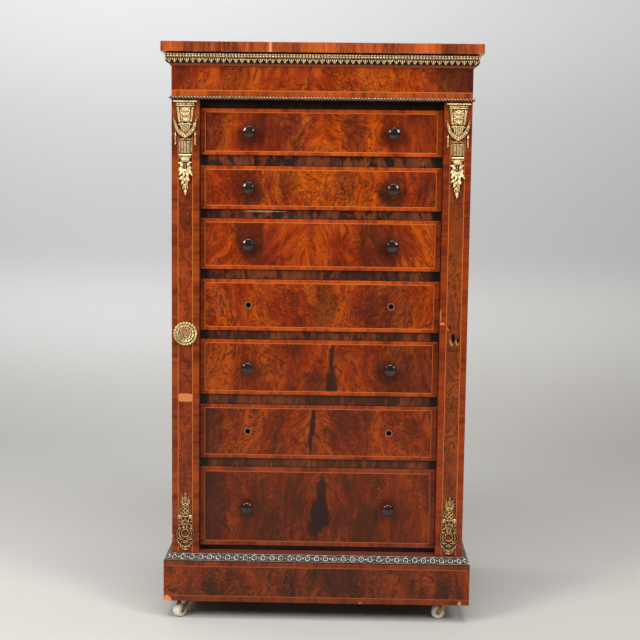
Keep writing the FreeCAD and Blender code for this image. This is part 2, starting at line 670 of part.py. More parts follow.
def pivot_parts():
    """Plates with pins on the stile, and the sockets that they turn in."""
    ends = []
    for stile_z, seat_z, way in ((FLAP_BOTTOM, CARCASE_BOTTOM, -1), (FLAP_TOP, FRIEZE_BOTTOM, 1)):
        out = UP * way
        plate = pivot_plate_block(stile_z, PIVOT_PLATE_THICKNESS, way < 0)
        pin_reach = STILE_END_GAP + PIVOT_LENGTH
        pin = Part.makeCylinder(PIVOT_RADIUS, pin_reach, point(PIVOT_X, PIVOT_Y, stile_z), out)
        collar = Part.makeCylinder(PIVOT_COLLAR_RADIUS, PIVOT_COLLAR_HEIGHT,
                                   point(PIVOT_X, PIVOT_Y, stile_z), out)
        socket = pivot_plate_block(seat_z, PIVOT_PLATE_THICKNESS, way > 0)
        bore = Part.makeCylinder(PIVOT_RADIUS + PIVOT_CLEARANCE, PIVOT_PLATE_THICKNESS,
                                 point(PIVOT_X, PIVOT_Y, seat_z), out)
        pin_room = Part.makeCylinder(PIVOT_RADIUS + PIN_ROOM_GAP, PIVOT_LENGTH + PIN_ROOM_GAP,
                                     point(PIVOT_X, PIVOT_Y, seat_z), out)
        size = (SMALL_SCREW_RADIUS, SMALL_SCREW_HEAD_RADIUS, SMALL_SCREW_LENGTH)
        plate_screw = (pivot_screw_point(stile_z), UP * -way, *size)
        socket_screw = (pivot_screw_point(seat_z), out, *size)
        ends.append({
            "plate": plate.fuse(pin).fuse(collar).removeSplitter().cut(screw_hole(*plate_screw)),
            "plate_room": [plate, screw_hole(*plate_screw)],
            "plate_screw": screw(*plate_screw),
            "socket": socket.cut(bore).cut(screw_hole(*socket_screw)),
            "socket_room": [socket, pin_room, screw_hole(*socket_screw)],
            "socket_screw": screw(*socket_screw),
        })
    return ends


def keyhole_cutter(front_y, depth):
    """Round hole with a slot below it, cut along Y."""
    height = LOCK_HEIGHT + KEYHOLE_RISE
    ring = Part.makeCylinder(KEYHOLE_RADIUS, depth, point(STILE_MIDDLE, front_y, height), BACKWARD)
    half = KEYHOLE_SLOT_WIDTH / 2
    slot = block((STILE_MIDDLE - half, STILE_MIDDLE + half), (front_y, front_y + depth),
                 (height - KEYHOLE_SLOT_LENGTH, height))
    return ring.fuse(slot)


def lock_screw_sets():
    """Four screws at the corners of the lock's flange."""
    sets = []
    for side in (-1, 1):
        for end in (-1, 1):
            head = point(STILE_MIDDLE + side * (LOCK_WIDTH / 2 - LOCK_SCREW_IN), FLAP_BACK_Y,
                         LOCK_HEIGHT + end * (LOCK_LENGTH / 2 + LOCK_FLANGE / 2))
            sets.append((head, BACKWARD * -1, SMALL_SCREW_RADIUS, SMALL_SCREW_HEAD_RADIUS, SMALL_SCREW_LENGTH))
    return sets


def make_lock():
    """Case in the back of the stile, and the bolt that slides up through the staples."""
    across = (STILE_MIDDLE - LOCK_WIDTH / 2, STILE_MIDDLE + LOCK_WIDTH / 2)
    length = (LOCK_HEIGHT - LOCK_LENGTH / 2, LOCK_HEIGHT + LOCK_LENGTH / 2)
    body = block(across, (LOCK_FRONT_Y, FLAP_BACK_Y), length)
    flange = block(across, (LOCK_CAP_Y, FLAP_BACK_Y), (length[0] - LOCK_FLANGE, length[1] + LOCK_FLANGE))
    room = body.fuse(flange)
    inside = block((across[0] + LOCK_WALL, across[1] - LOCK_WALL), (LOCK_FRONT_Y + LOCK_WALL, LOCK_CAP_Y),
                   (length[0] + LOCK_WALL, length[1] - LOCK_WALL))
    case = room.cut(inside).cut(keyhole_cutter(LOCK_FRONT_Y - CUT_MARGIN, LOCK_WALL + 2 * CUT_MARGIN))
    for end in (-1, 1):
        middle = LOCK_HEIGHT + end * STAPLE_SPREAD
        slot = block((STAPLE_X - STAPLE_HALF - STAPLE_SLOT_GAP,
                      STAPLE_X + STAPLE_HALF + STAPLE_SLOT_GAP + STAPLE_SWING_ROOM),
                     (LOCK_CAP_Y - CUT_MARGIN, FLAP_BACK_Y + CUT_MARGIN),
                     (middle - STAPLE_THICKNESS / 2 - STAPLE_SLOT_GAP,
                      middle + STAPLE_THICKNESS / 2 + STAPLE_SLOT_GAP))
        case = case.cut(slot)
    holes = [screw_hole(*each) for each in lock_screw_sets()]
    save("lock_case", [cut_all(case, holes)])

    finger_back = LOCK_CAP_Y - RUNNING_GAP
    depth = (finger_back - BOLT_THICKNESS, finger_back)
    finger_tip = -STAPLE_THICKNESS / 2 - STAPLE_SLOT_GAP
    arm_top = finger_tip - BOLT_TRAVEL
    bar_right = STAPLE_X - STAPLE_HALF - STAPLE_SLOT_GAP
    bar_left = bar_right - BOLT_BAR_WIDTH
    bolt = block((bar_left, bar_right), depth,
                 (LOCK_HEIGHT - STAPLE_SPREAD + arm_top - BOLT_FINGER_WIDTH, LOCK_HEIGHT + STAPLE_SPREAD))
    for end in (-1, 1):
        middle = LOCK_HEIGHT + end * STAPLE_SPREAD
        arm = block((bar_left, STAPLE_X + BOLT_FINGER_WIDTH / 2), depth,
                    (middle + arm_top - BOLT_FINGER_WIDTH, middle + arm_top))
        finger = block((STAPLE_X - BOLT_FINGER_WIDTH / 2, STAPLE_X + BOLT_FINGER_WIDTH / 2), depth,
                       (middle + arm_top - BOLT_FINGER_WIDTH, middle + finger_tip))
        bolt = bolt.fuse(arm).fuse(finger)
    save("lock_bolt", [bolt.removeSplitter()])
    return [room] + holes


def staple_plate_parts():
    """Plate let into the post, with two staples that stand forward into the lock."""
    across = (STAPLE_X - STAPLE_PLATE_WIDTH / 2, STAPLE_X + STAPLE_PLATE_WIDTH / 2)
    length = (LOCK_HEIGHT - STAPLE_PLATE_LENGTH / 2, LOCK_HEIGHT + STAPLE_PLATE_LENGTH / 2)
    seat = block(across, (STILE_BACK_Y, STILE_BACK_Y + STAPLE_PLATE_THICKNESS), length)
    plate = seat
    for end in (-1, 1):
        middle = LOCK_HEIGHT + end * STAPLE_SPREAD
        height = (middle - STAPLE_THICKNESS / 2, middle + STAPLE_THICKNESS / 2)
        loop = block((STAPLE_X - STAPLE_HALF, STAPLE_X + STAPLE_HALF),
                     (STILE_BACK_Y - STAPLE_PROJECTION, STILE_BACK_Y), height)
        eye = block((STAPLE_X - STAPLE_HOLE / 2, STAPLE_X + STAPLE_HOLE / 2),
                    (STILE_BACK_Y - STAPLE_PROJECTION + STAPLE_WIRE, STILE_BACK_Y), height)
        plate = plate.fuse(loop.cut(eye))
    screws = []
    for end in (-1, 0, 1):
        height = LOCK_HEIGHT + end * (STAPLE_PLATE_LENGTH / 2 - STAPLE_SCREW_IN)
        head = point(STAPLE_X + STAPLE_SCREW_SIDE, STILE_BACK_Y, height)
        screws.append((head, BACKWARD, SMALL_SCREW_RADIUS, SMALL_SCREW_HEAD_RADIUS, SMALL_SCREW_LENGTH))
    holes = [screw_hole(*each) for each in screws]
    plate = cut_all(plate.removeSplitter(), holes)
    return plate, [seat] + holes, [screw(*each) for each in screws]


def make_locking_stile(ends):
    lock_room = make_lock()
    board = block((POST_HALF, HALF), (FACE_Y, FLAP_BACK_Y), (FLAP_BOTTOM, FLAP_TOP))
    board = eased(board, lambda e: runs_along(e, UP) and e.CenterOfMass.y < FACE_Y + EDGE_EASE, EDGE_EASE)
    turn_radius = FLAP_BACK_Y - PIVOT_Y
    length = (FLAP_BOTTOM - CUT_MARGIN, FLAP_TOP + CUT_MARGIN)
    corner = block((PIVOT_X, HALF + CUT_MARGIN), (PIVOT_Y, FLAP_BACK_Y + CUT_MARGIN), length)
    round_end = Part.makeCylinder(turn_radius, length[1] - length[0], point(PIVOT_X, PIVOT_Y, length[0]))
    board = board.cut(corner.cut(round_end))
    pin_holes = [Part.makeCylinder(ROSETTE_PIN_RADIUS, ROSETTE_PIN_DEPTH + CUT_MARGIN,
                                   point(STILE_MIDDLE + x, FACE_Y - CUT_MARGIN, LOCK_HEIGHT + z), BACKWARD)
                 for x, z in ROSETTE_PIN_PLACES]
    keyhole = keyhole_cutter(FACE_Y - CUT_MARGIN, LOCK_FRONT_Y - FACE_Y + 2 * CUT_MARGIN)
    rooms = lock_room + [keyhole] + pin_holes
    rooms += [room for end in ends for room in end["plate_room"]]
    save("locking_stile", [cut_all(board, rooms)])
    save("pivot_plates", [end["plate"] for end in ends])
    lock_screws = [screw(*each) for each in lock_screw_sets()]
    save("stile_screws", lock_screws + [end["plate_screw"] for end in ends])


# ---------------------------------------------------------------- gilt mounts
def front_prism(half_outline, thickness, middle_x):
    """A flat plate on the face of a stile, from its right half as (x from the middle, height)."""
    whole = half_outline + [(-x, z) for x, z in reversed(half_outline)]
    corners = [point(middle_x + x, FACE_Y, z) for x, z in whole]
    return face_through(*corners).extrude(BACKWARD * -thickness)


def top_mount(middle_x):
    """Cap, tapering tablet, swag with tassels, shaft, inverted capital and a leafy drop."""
    top = FRIEZE_BOTTOM - TOP_MOUNT_DROP
    leaf = [(x, top - drop) for x, drop in TOP_MOUNT_LEAF]
    mount = front_prism(leaf, TOP_MOUNT_LEAF_THICKNESS, middle_x)
    for high, low, half_high, half_low, thickness in TOP_MOUNT_BANDS:
        mount = mount.fuse(front_prism([(half_high, top - high), (half_low, top - low)], thickness, middle_x))

    swag_z = top - SWAG_DROP
    ring = Part.makeTorus(SWAG_RADIUS, SWAG_THICKNESS, point(middle_x, FACE_Y, swag_z), BACKWARD)
    reach = SWAG_RADIUS + SWAG_THICKNESS
    lower_front = block((middle_x - reach, middle_x + reach), (FACE_Y - SWAG_THICKNESS, FACE_Y),
                        (swag_z - reach, swag_z))
    mount = mount.fuse(ring.common(lower_front))
    for side in (-1, 1):
        middle = point(middle_x + side * TASSEL_SPREAD, FACE_Y, top - TASSEL_DROP)
        tassel = Part.makeCone(TASSEL_TOP_RADIUS, TASSEL_END_RADIUS, TASSEL_LENGTH, middle, UP * -1)
        front_half = block((middle.x - TASSEL_END_RADIUS, middle.x + TASSEL_END_RADIUS),
                           (FACE_Y - TASSEL_END_RADIUS, FACE_Y), (middle.z - TASSEL_LENGTH, middle.z))
        mount = mount.fuse(tassel.common(front_half))
    return mount.removeSplitter()


def bottom_mount(middle_x):
    """Pierced plate of scrolls with a leaf at its head and a round opening."""
    low = FLAP_BOTTOM + BOTTOM_MOUNT_RISE
    outline = [(x, low + z) for x, z in BOTTOM_MOUNT_OUTLINE]
    plate = front_prism(outline, BOTTOM_MOUNT_THICKNESS, middle_x)
    for radius, height in BOTTOM_MOUNT_HOLES:
        start = point(middle_x, FACE_Y - BOTTOM_MOUNT_THICKNESS, low + height)
        plate = plate.cut(Part.makeCylinder(radius, BOTTOM_MOUNT_THICKNESS, start, BACKWARD))
    return plate


def make_mounts():
    save("fixed_stile_top_mount", [top_mount(-STILE_MIDDLE)])
    save("fixed_stile_bottom_mount", [bottom_mount(-STILE_MIDDLE)])
    save("locking_stile_top_mount", [top_mount(STILE_MIDDLE)])
    save("locking_stile_bottom_mount", [bottom_mount(STILE_MIDDLE)])
    outline = [
        (0, 0),
        (ROSETTE_RADIUS, 0),
        (ROSETTE_RADIUS, ROSETTE_RIM_THICKNESS / 2),
        (ROSETTE_RADIUS - ROSETTE_HOLLOW_WIDTH, ROSETTE_RIM_THICKNESS),
        (ROSETTE_DOME_RADIUS + ROSETTE_HOLLOW_WIDTH, ROSETTE_RIM_THICKNESS),
        (ROSETTE_DOME_RADIUS, (ROSETTE_RIM_THICKNESS + ROSETTE_THICKNESS) / 2),
        (ROSETTE_TIP_RADIUS, ROSETTE_THICKNESS),
        (0, ROSETTE_THICKNESS),
    ]
    save("rosette", [turned(outline, point(-STILE_MIDDLE, FACE_Y, LOCK_HEIGHT), BACKWARD * -1)])


# ---------------------------------------------------------------- casters
def make_caster(name, x, y):
    """Horn with stem and axle, and the wheel, built along +X and then turned to the trail angle."""
    crown_top = CASTER_HEIGHT - CASTER_PLATE_THICKNESS - HORN_PLATE_GAP
    crown_low = crown_top - HORN_CROWN_THICKNESS
    cheek_in = WHEEL_WIDTH / 2 + HORN_SIDE_ROOM
    cheek_out = cheek_in + HORN_THICKNESS
    axle_middle = point(CASTER_TRAIL, 0, WHEEL_RADIUS)
    crown = block((-HORN_CROWN_LENGTH / 2, HORN_CROWN_LENGTH / 2), (-cheek_out, cheek_out), (crown_low, crown_top))
    crown = eased(crown, lambda e: runs_along(e, UP), HORN_CROWN_RADIUS)
    horn = crown
    boss_low = WHEEL_RADIUS - HORN_BOSS_RADIUS
    root_z = crown_low + HORN_ROOT_DEPTH
    for start_y in (cheek_in, -cheek_out):
        cheek = face_through(
            point(HORN_ROOT_INSET - HORN_CROWN_LENGTH / 2, start_y, root_z),
            point(CASTER_TRAIL - HORN_BOSS_RADIUS, start_y, WHEEL_RADIUS),
            (point(CASTER_TRAIL, start_y, boss_low), point(CASTER_TRAIL + HORN_BOSS_RADIUS, start_y, WHEEL_RADIUS)),
            point(HORN_CROWN_LENGTH / 2 - HORN_ROOT_INSET, start_y, root_z),
        ).extrude(BACKWARD * HORN_THICKNESS)
        horn = horn.fuse(cheek)
    axle_start = axle_middle - BACKWARD * (cheek_out + AXLE_HEAD_LENGTH)
    axle_length = 2 * (cheek_out + AXLE_HEAD_LENGTH)
    horn = horn.cut(Part.makeCylinder(AXLE_RADIUS + PILOT_CLEARANCE, axle_length, axle_start, BACKWARD))
    head_z = CASTER_HEIGHT + RUNNING_GAP
    stem = Part.makeCylinder(STEM_RADIUS, head_z + STEM_HEAD_HEIGHT - crown_top, point(0, 0, crown_top))
    head = Part.makeCylinder(STEM_HEAD_RADIUS, STEM_HEAD_HEIGHT, point(0, 0, head_z))
    horn = horn.fuse(stem).fuse(head).removeSplitter()
    axle = Part.makeCylinder(AXLE_RADIUS, axle_length, axle_start, BACKWARD)

    half = WHEEL_WIDTH / 2
    tread = WHEEL_TREAD_WIDTH / 2
    bore = AXLE_RADIUS + AXLE_CLEARANCE

    def at(radius, along):
        return axle_middle + UP * radius + BACKWARD * along

    wheel = face_through(
        at(bore, -half),
        at(WHEEL_HUB_RADIUS - WHEEL_HUB_RECESS, -half),
        at(WHEEL_HUB_RADIUS, WHEEL_HUB_RECESS - half),
        at(WHEEL_EDGE_RADIUS - WHEEL_HUB_RECESS, WHEEL_HUB_RECESS - half),
        at(WHEEL_EDGE_RADIUS, -half),
        at(WHEEL_RADIUS, -tread),
        at(WHEEL_RADIUS, tread),
        at(WHEEL_EDGE_RADIUS, half),
        at(WHEEL_EDGE_RADIUS - WHEEL_HUB_RECESS, half - WHEEL_HUB_RECESS),
        at(WHEEL_HUB_RADIUS, half - WHEEL_HUB_RECESS),
        at(WHEEL_HUB_RADIUS - WHEEL_HUB_RECESS, half),
        at(bore, half),
    ).revolve(axle_middle, BACKWARD, 360)

    placed = []
    for solid in (horn, axle, wheel):
        solid = solid.copy()
        solid.rotate(point(0, 0, 0), UP, TRAIL_ANGLES[name])
        solid.translate(point(x, y, 0))
        placed.append(solid)
    save(f"caster_horn_{name}", placed[:2])
    save(f"caster_wheel_{name}", placed[2:])


def caster_plate(x, y):
    low = CASTER_HEIGHT - CASTER_PLATE_THICKNESS
    plate = Part.makeCylinder(CASTER_PLATE_RADIUS, CASTER_PLATE_THICKNESS, point(x, y, low))
    plate = plate.cut(Part.makeCylinder(STEM_RADIUS + PIVOT_CLEARANCE, CASTER_PLATE_THICKNESS + 2 * CUT_MARGIN,
                                        point(x, y, low - CUT_MARGIN)))
    holes = [screw_hole(head, UP, SCREW_RADIUS, SCREW_HEAD_RADIUS, SCREW_LENGTH)
             for head in caster_screw_points(x, y)]
    return cut_all(plate, holes)


# ---------------------------------------------------------------- everything
def main():
    os.makedirs("parts", exist_ok=True)
    ends = pivot_parts()
    socket_room = [room for end in ends for room in end["socket_room"]]
    plate, plate_room, plate_screws = staple_plate_parts()
    make_plinth()
    make_plinth_mouldings(socket_room)
    make_carcase(socket_room, plate_room)
    make_top()
    make_front_mouldings()
    for number, (floor, height) in enumerate(zip(FLOORS, DRAWER_FRONT_HEIGHTS), start=1):
        make_drawer(number, floor, height)
    make_locking_stile(ends)
    save("pivot_sockets", [end["socket"] for end in ends])
    save("staple_plate", [plate])
    make_mounts()
    plates = []
    screws = plate_screws + [end["socket_screw"] for end in ends]
    for name, x, y in caster_places():
        make_caster(name, x, y)
        plates.append(caster_plate(x, y))
        screws += [screw(head, UP, SCREW_RADIUS, SCREW_HEAD_RADIUS, SCREW_LENGTH)
                   for head in caster_screw_points(x, y)]
    save("caster_plates", plates)
    save("carcase_screws", screws)
    print(f"total height {TOTAL_HEIGHT:.1f}, pivot at {PIVOT_X:.2f}, {PIVOT_Y:.2f}, openings over {FLOORS}")


main()
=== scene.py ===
# %% [markdown]
# # Dressing a semainier: veneer, inlay and gilt mounts
# A semainier is a tall chest with one drawer for each day of the week. The solid model gives
# the boards, the drawers and every joint. This notebook gives them their finish: book-matched
# burr walnut, crossbands with thin light strings, rosewood rails, cast gilt mounts and white
# china caster wheels. The finishes could be painted as pictures, but here they are worked out
# from positions in space, so they fit each board exactly and never blur when seen close.

# %% Load the frame
import json
import math

import bmesh
import bpy
import numpy as np
from mathutils import Matrix, Vector


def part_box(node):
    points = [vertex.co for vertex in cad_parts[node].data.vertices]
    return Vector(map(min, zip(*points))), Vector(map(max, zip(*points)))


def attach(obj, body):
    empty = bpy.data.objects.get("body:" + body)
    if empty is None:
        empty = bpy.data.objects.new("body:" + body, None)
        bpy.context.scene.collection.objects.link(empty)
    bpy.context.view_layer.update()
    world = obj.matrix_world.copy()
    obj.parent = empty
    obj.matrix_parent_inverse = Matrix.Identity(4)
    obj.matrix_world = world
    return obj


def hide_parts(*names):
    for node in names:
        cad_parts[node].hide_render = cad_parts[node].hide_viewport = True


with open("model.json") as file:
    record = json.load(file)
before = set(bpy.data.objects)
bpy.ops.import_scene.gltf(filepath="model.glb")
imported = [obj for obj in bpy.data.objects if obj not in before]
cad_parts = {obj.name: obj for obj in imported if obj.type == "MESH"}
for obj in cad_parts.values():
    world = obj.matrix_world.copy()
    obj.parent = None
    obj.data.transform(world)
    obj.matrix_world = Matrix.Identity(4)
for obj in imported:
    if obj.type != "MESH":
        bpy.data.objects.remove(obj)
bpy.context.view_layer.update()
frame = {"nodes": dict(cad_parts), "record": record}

# %% [markdown]
# ## Places taken from the frame
# Every ornament sits on a board, so its place is read from that board's box and not typed in.
# The stiles give the front face and the middle lines that the gilt mounts are centred on.

# %% Places
MM = 0.001
stile_low, stile_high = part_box("fixed_stile")
frieze_low, frieze_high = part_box("frieze")
plinth_low, plinth_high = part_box("plinth_frame")
top_low, top_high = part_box("top_board")
FACE_Y = stile_low.y
STILE_MIDDLE = (frieze_high.x - stile_high.x) / 2
SIDES = {"fixed_stile": -STILE_MIDDLE, "locking_stile": STILE_MIDDLE}
DRAWERS = range(1, 8)
DRAWERS_WITH_KNOBS = [n for n in DRAWERS if f"drawer_{n}_knobs" in frame["nodes"]]
print("front face at", round(FACE_Y, 4), "and stiles centred on", round(STILE_MIDDLE, 4))

# %% [markdown]
# ## Short names for shader nodes
# A shader tree is a drawing made of many small boxes. Placing them one by one takes a page, so
# these helpers place a box, join its inputs, and hand back its output. An input takes either a
# plain value or another box's output.

# %% Shader helpers
def feed(tree, target, value):
    """Joins an output to an input, or sets the input to a plain value."""
    if isinstance(value, bpy.types.NodeSocket):
        tree.links.new(value, target)
    elif value is not None:
        target.default_value = value


def calc(tree, operation, first, second=None, third=None):
    """One step of arithmetic."""
    node = tree.nodes.new("ShaderNodeMath")
    node.operation = operation
    for target, value in zip(node.inputs, (first, second, third)):
        feed(tree, target, value)
    return node.outputs[0]


def vector_calc(tree, operation, first, second=None):
    """One step of arithmetic on places in space."""
    node = tree.nodes.new("ShaderNodeVectorMath")
    node.operation = operation
    feed(tree, node.inputs[0], first)
    feed(tree, node.inputs[1], second)
    return node.outputs["Value" if operation in ("DOT_PRODUCT", "LENGTH") else "Vector"]


def blend_colours(tree, factor, first, second, how="MIX"):
    """Lays the second colour over the first by the factor."""
    node = tree.nodes.new("ShaderNodeMix")
    node.data_type = "RGBA"
    node.blend_type = how
    feed(tree, node.inputs["Factor"], factor)
    feed(tree, node.inputs[6], first)
    feed(tree, node.inputs[7], second)
    return node.outputs[2]


def soft_step(tree, value, low, high):
    """0 below low, 1 above high, and a smooth rise between."""
    node = tree.nodes.new("ShaderNodeMapRange")
    node.interpolation_type = "SMOOTHSTEP"
    feed(tree, node.inputs["Value"], value)
    feed(tree, node.inputs["From Min"], low)
    feed(tree, node.inputs["From Max"], high)
    return node.outputs["Result"]


def noise(tree, place, scale, detail=2.0, roughness=0.5, distortion=0.0, output="Fac"):
    """Smooth random values in space, about 0.5 on average."""
    node = tree.nodes.new("ShaderNodeTexNoise")
    feed(tree, node.inputs["Vector"], place)
    feed(tree, node.inputs["Scale"], scale)
    feed(tree, node.inputs["Detail"], detail)
    feed(tree, node.inputs["Roughness"], roughness)
    feed(tree, node.inputs["Distortion"], distortion)
    return node.outputs[output]


def split(tree, place):
    """The three coordinates of a place."""
    node = tree.nodes.new("ShaderNodeSeparateXYZ")
    feed(tree, node.inputs[0], place)
    return node.outputs[0], node.outputs[1], node.outputs[2]


def join(tree, x, y, z):
    """A place from three coordinates."""
    node = tree.nodes.new("ShaderNodeCombineXYZ")
    for target, value in zip(node.inputs, (x, y, z)):
        feed(tree, target, value)
    return node.outputs[0]


def colour(red, green, blue):
    """A colour from the 0 to 255 values that a paint chart gives."""
    def linear(value):
        value /= 255.0
        return value / 12.92 if value <= 0.04045 else ((value + 0.055) / 1.055) ** 2.4
    return (linear(red), linear(green), linear(blue), 1.0)


SOCKETS = {"vector": "NodeSocketVector", "value": "NodeSocketFloat", "colour": "NodeSocketColor"}


def new_group(name, inputs, outputs):
    """An empty shader group with named inputs and outputs. Both list (name, kind)."""
    group = bpy.data.node_groups.new(name, "ShaderNodeTree")
    for label, kind in inputs:
        group.interface.new_socket(label, in_out="INPUT", socket_type=SOCKETS[kind])
    for label, kind in outputs:
        group.interface.new_socket(label, in_out="OUTPUT", socket_type=SOCKETS[kind])
    way_in = group.nodes.new("NodeGroupInput").outputs
    way_out = group.nodes.new("NodeGroupOutput").inputs
    return group, way_in, way_out


def place_group(tree, group, **values):
    """Puts a group into a tree. An input Light Wood is given as light_wood=..."""
    node = tree.nodes.new("ShaderNodeGroup")
    node.node_tree = group
    for target in node.inputs:
        feed(tree, target, values.pop(target.name.lower().replace(" ", "_"), None))
    if values:
        raise ValueError(f"{group.name} has no input {list(values)}")
    return node.outputs


print("shader helpers ready")

# %% [markdown]
# ## Burr walnut
# Burr and crotch veneer has several things going on at once: broad lighter and darker tracts,
# upright streaks that run through them, fine wavy growth lines, and tight dark curls where the
# burr grew. Two leaves cut one after the other are opened like a book, so the figure mirrors
# about the join. A picture texture would repeat on every drawer. Layered noise doesn't, and one
# shift of its starting point gives each drawer a leaf of its own.

# %% Burr walnut group
burr, given, made = new_group(
    "burr_walnut",
    [("Place", "vector"), ("Shift", "vector"), ("Join", "value"), ("Lean", "value"), ("Tone", "value"),
     ("Curl", "value"), ("Light Wood", "colour"), ("Warm Wood", "colour"), ("Dark Wood", "colour")],
    [("Colour", "colour"), ("Height", "value")],
)
across, upward, inward = split(burr, given["Place"])
unevenness = calc(burr, "SUBTRACT", noise(burr, given["Place"], 8.0, 2.0), 0.5)
folded = calc(burr, "ABSOLUTE", calc(burr, "SUBTRACT", across, given["Join"]))
folded = calc(burr, "ADD", folded, calc(burr, "MULTIPLY", unevenness, 0.07))
leaning = calc(burr, "ADD", folded, calc(burr, "MULTIPLY", upward, given["Lean"]))
next_leaf = calc(burr, "MULTIPLY", calc(burr, "GREATER_THAN", across, given["Join"]), 0.012)
leaf_place = join(burr, leaning, upward, calc(burr, "ADD", inward, next_leaf))
leaf_place = vector_calc(burr, "ADD", leaf_place, given["Shift"])


def bent(tree, place, scale, amount, detail=1.0):
    """A place bent by noise."""
    push = vector_calc(tree, "SUBTRACT", noise(tree, place, scale, detail, output="Color"), (0.5, 0.5, 0.5))
    push = vector_calc(tree, "MULTIPLY", push, (amount, amount, amount))
    return vector_calc(tree, "ADD", place, push)


def stretched(tree, place, share):
    """A place squeezed upwards, so that what is drawn from it becomes tall."""
    return vector_calc(tree, "MULTIPLY", place, (1.0, share, 1.0))


swayed = bent(burr, leaf_place, 6.0, 0.06, 2.0)
rippled = bent(burr, swayed, 34.0, 0.015, 3.0)
tracts = noise(burr, stretched(burr, rippled, 0.42), 14.0, 4.0, 0.6)
streaks = noise(burr, stretched(burr, rippled, 0.15), 75.0, 5.0, 0.7)
tone = calc(burr, "MULTIPLY_ADD", streaks, 0.42, calc(burr, "MULTIPLY", tracts, 0.58))
tone = calc(burr, "ADD", tone, given["Tone"])
growth = calc(burr, "MULTIPLY", noise(burr, stretched(burr, rippled, 0.3), 9.0, 2.0), 230.0)
growth = calc(burr, "SINE", growth)
growth_mask = soft_step(burr, noise(burr, swayed, 11.0, 2.0), 0.4, 0.56)
growth_lines = calc(burr, "MULTIPLY", soft_step(burr, growth, 0.5, 0.98), growth_mask)
knotty = bent(burr, rippled, 78.0, 0.016, 3.0)
curls = noise(burr, stretched(burr, knotty, 0.75), 120.0, 3.0, 0.62, 1.4)
vein_place = calc(burr, "ABSOLUTE", calc(burr, "SUBTRACT", noise(burr, knotty, 62.0, 3.0, 0.6, 1.0), 0.5))
veins = soft_step(burr, vein_place, 0.034, 0.006)
long_place = calc(burr, "SUBTRACT", noise(burr, stretched(burr, knotty, 0.4), 26.0, 4.0, 0.62, 0.6), 0.5)
long_veins = soft_step(burr, calc(burr, "ABSOLUTE", long_place), 0.019, 0.006)
curl_mask = soft_step(burr, noise(burr, stretched(burr, swayed, 0.6), 12.0, 3.0), 0.38, 0.54)
curl_mask = calc(burr, "MULTIPLY", curl_mask, given["Curl"])
fibres = noise(burr, stretched(burr, rippled, 0.04), 1000.0, 2.0)
sheen = noise(burr, vector_calc(burr, "MULTIPLY", rippled, (0.5, 1.6, 1.0)), 55.0, 2.0)
dark_share = soft_step(burr, tone, 0.5, 0.36)
light_share = soft_step(burr, tone, 0.46, 0.63)
tinted = blend_colours(burr, light_share, given["Warm Wood"], given["Light Wood"])
tinted = blend_colours(burr, dark_share, tinted, given["Dark Wood"])
tinted = blend_colours(burr, calc(burr, "MULTIPLY", growth_lines, 0.65), tinted, given["Dark Wood"])
tinted = blend_colours(burr, calc(burr, "MULTIPLY", long_veins, 0.8), tinted, given["Dark Wood"])
curl_dark = calc(burr, "MULTIPLY", soft_step(burr, curls, 0.48, 0.37),
                 calc(burr, "MULTIPLY", curl_mask, 0.55))
tinted = blend_colours(burr, curl_dark, tinted, given["Dark Wood"])
curl_light = calc(burr, "MULTIPLY", soft_step(burr, curls, 0.54, 0.66),
                  calc(burr, "MULTIPLY", curl_mask, 0.5))
tinted = blend_colours(burr, curl_light, tinted, given["Light Wood"])
vein_share = calc(burr, "MULTIPLY", veins, calc(burr, "MULTIPLY", curl_mask, 0.85))
tinted = blend_colours(burr, vein_share, tinted, given["Dark Wood"])
shade = calc(burr, "MULTIPLY_ADD", fibres, 0.34, calc(burr, "MULTIPLY_ADD", sheen, 0.4, 0.63))
tinted = blend_colours(burr, 1.0, tinted, join(burr, shade, shade, shade), "MULTIPLY")
burr.links.new(tinted, made["Colour"])
relief = calc(burr, "ADD", calc(burr, "MULTIPLY", curls, curl_mask), calc(burr, "MULTIPLY", fibres, 0.4))
burr.links.new(relief, made["Height"])
print("burr walnut group:", len(burr.nodes), "nodes")

# %% [markdown]
# ## Crossbands and strings
# Round each panel runs a band of kingwood whose grain lies across the band, so it shows as short
# stripes, and a thin light string parts the band from the panel. A band could be a mesh of its
# own, but veneer is flush: it has no edge to catch the light. So one group draws the stripes and
# another one tells panel, string and band apart by measuring how far a spot is from the string.

# %% Crossband and inlay groups
crossband, given, made = new_group(
    "crossband_stripes",
    [("Along", "value"), ("Across", "value"), ("Seed", "value"), ("Light Wood", "colour"),
     ("Dark Wood", "colour")],
    [("Colour", "colour")],
)
drawn_out = calc(crossband, "MULTIPLY", given["Across"], 0.12)
stripe_place = join(crossband, given["Along"], drawn_out, given["Seed"])
broad_stripes = noise(crossband, stripe_place, 18.0, 1.0)
narrow_stripes = noise(crossband, stripe_place, 90.0, 4.0, 0.7)
hair_lines = noise(crossband, stripe_place, 500.0, 2.0)
stripe_tone = calc(crossband, "MULTIPLY_ADD", broad_stripes, 0.4,
                   calc(crossband, "MULTIPLY", narrow_stripes, 0.6))
stripe_share = soft_step(crossband, stripe_tone, 0.34, 0.64)
stripes = blend_colours(crossband, stripe_share, given["Dark Wood"], given["Light Wood"])
hair_tone = calc(crossband, "MULTIPLY_ADD", hair_lines, 0.6, 0.7)
stripes = blend_colours(crossband, 1.0, stripes, join(crossband, hair_tone, hair_tone, hair_tone), "MULTIPLY")
crossband.links.new(stripes, made["Colour"])

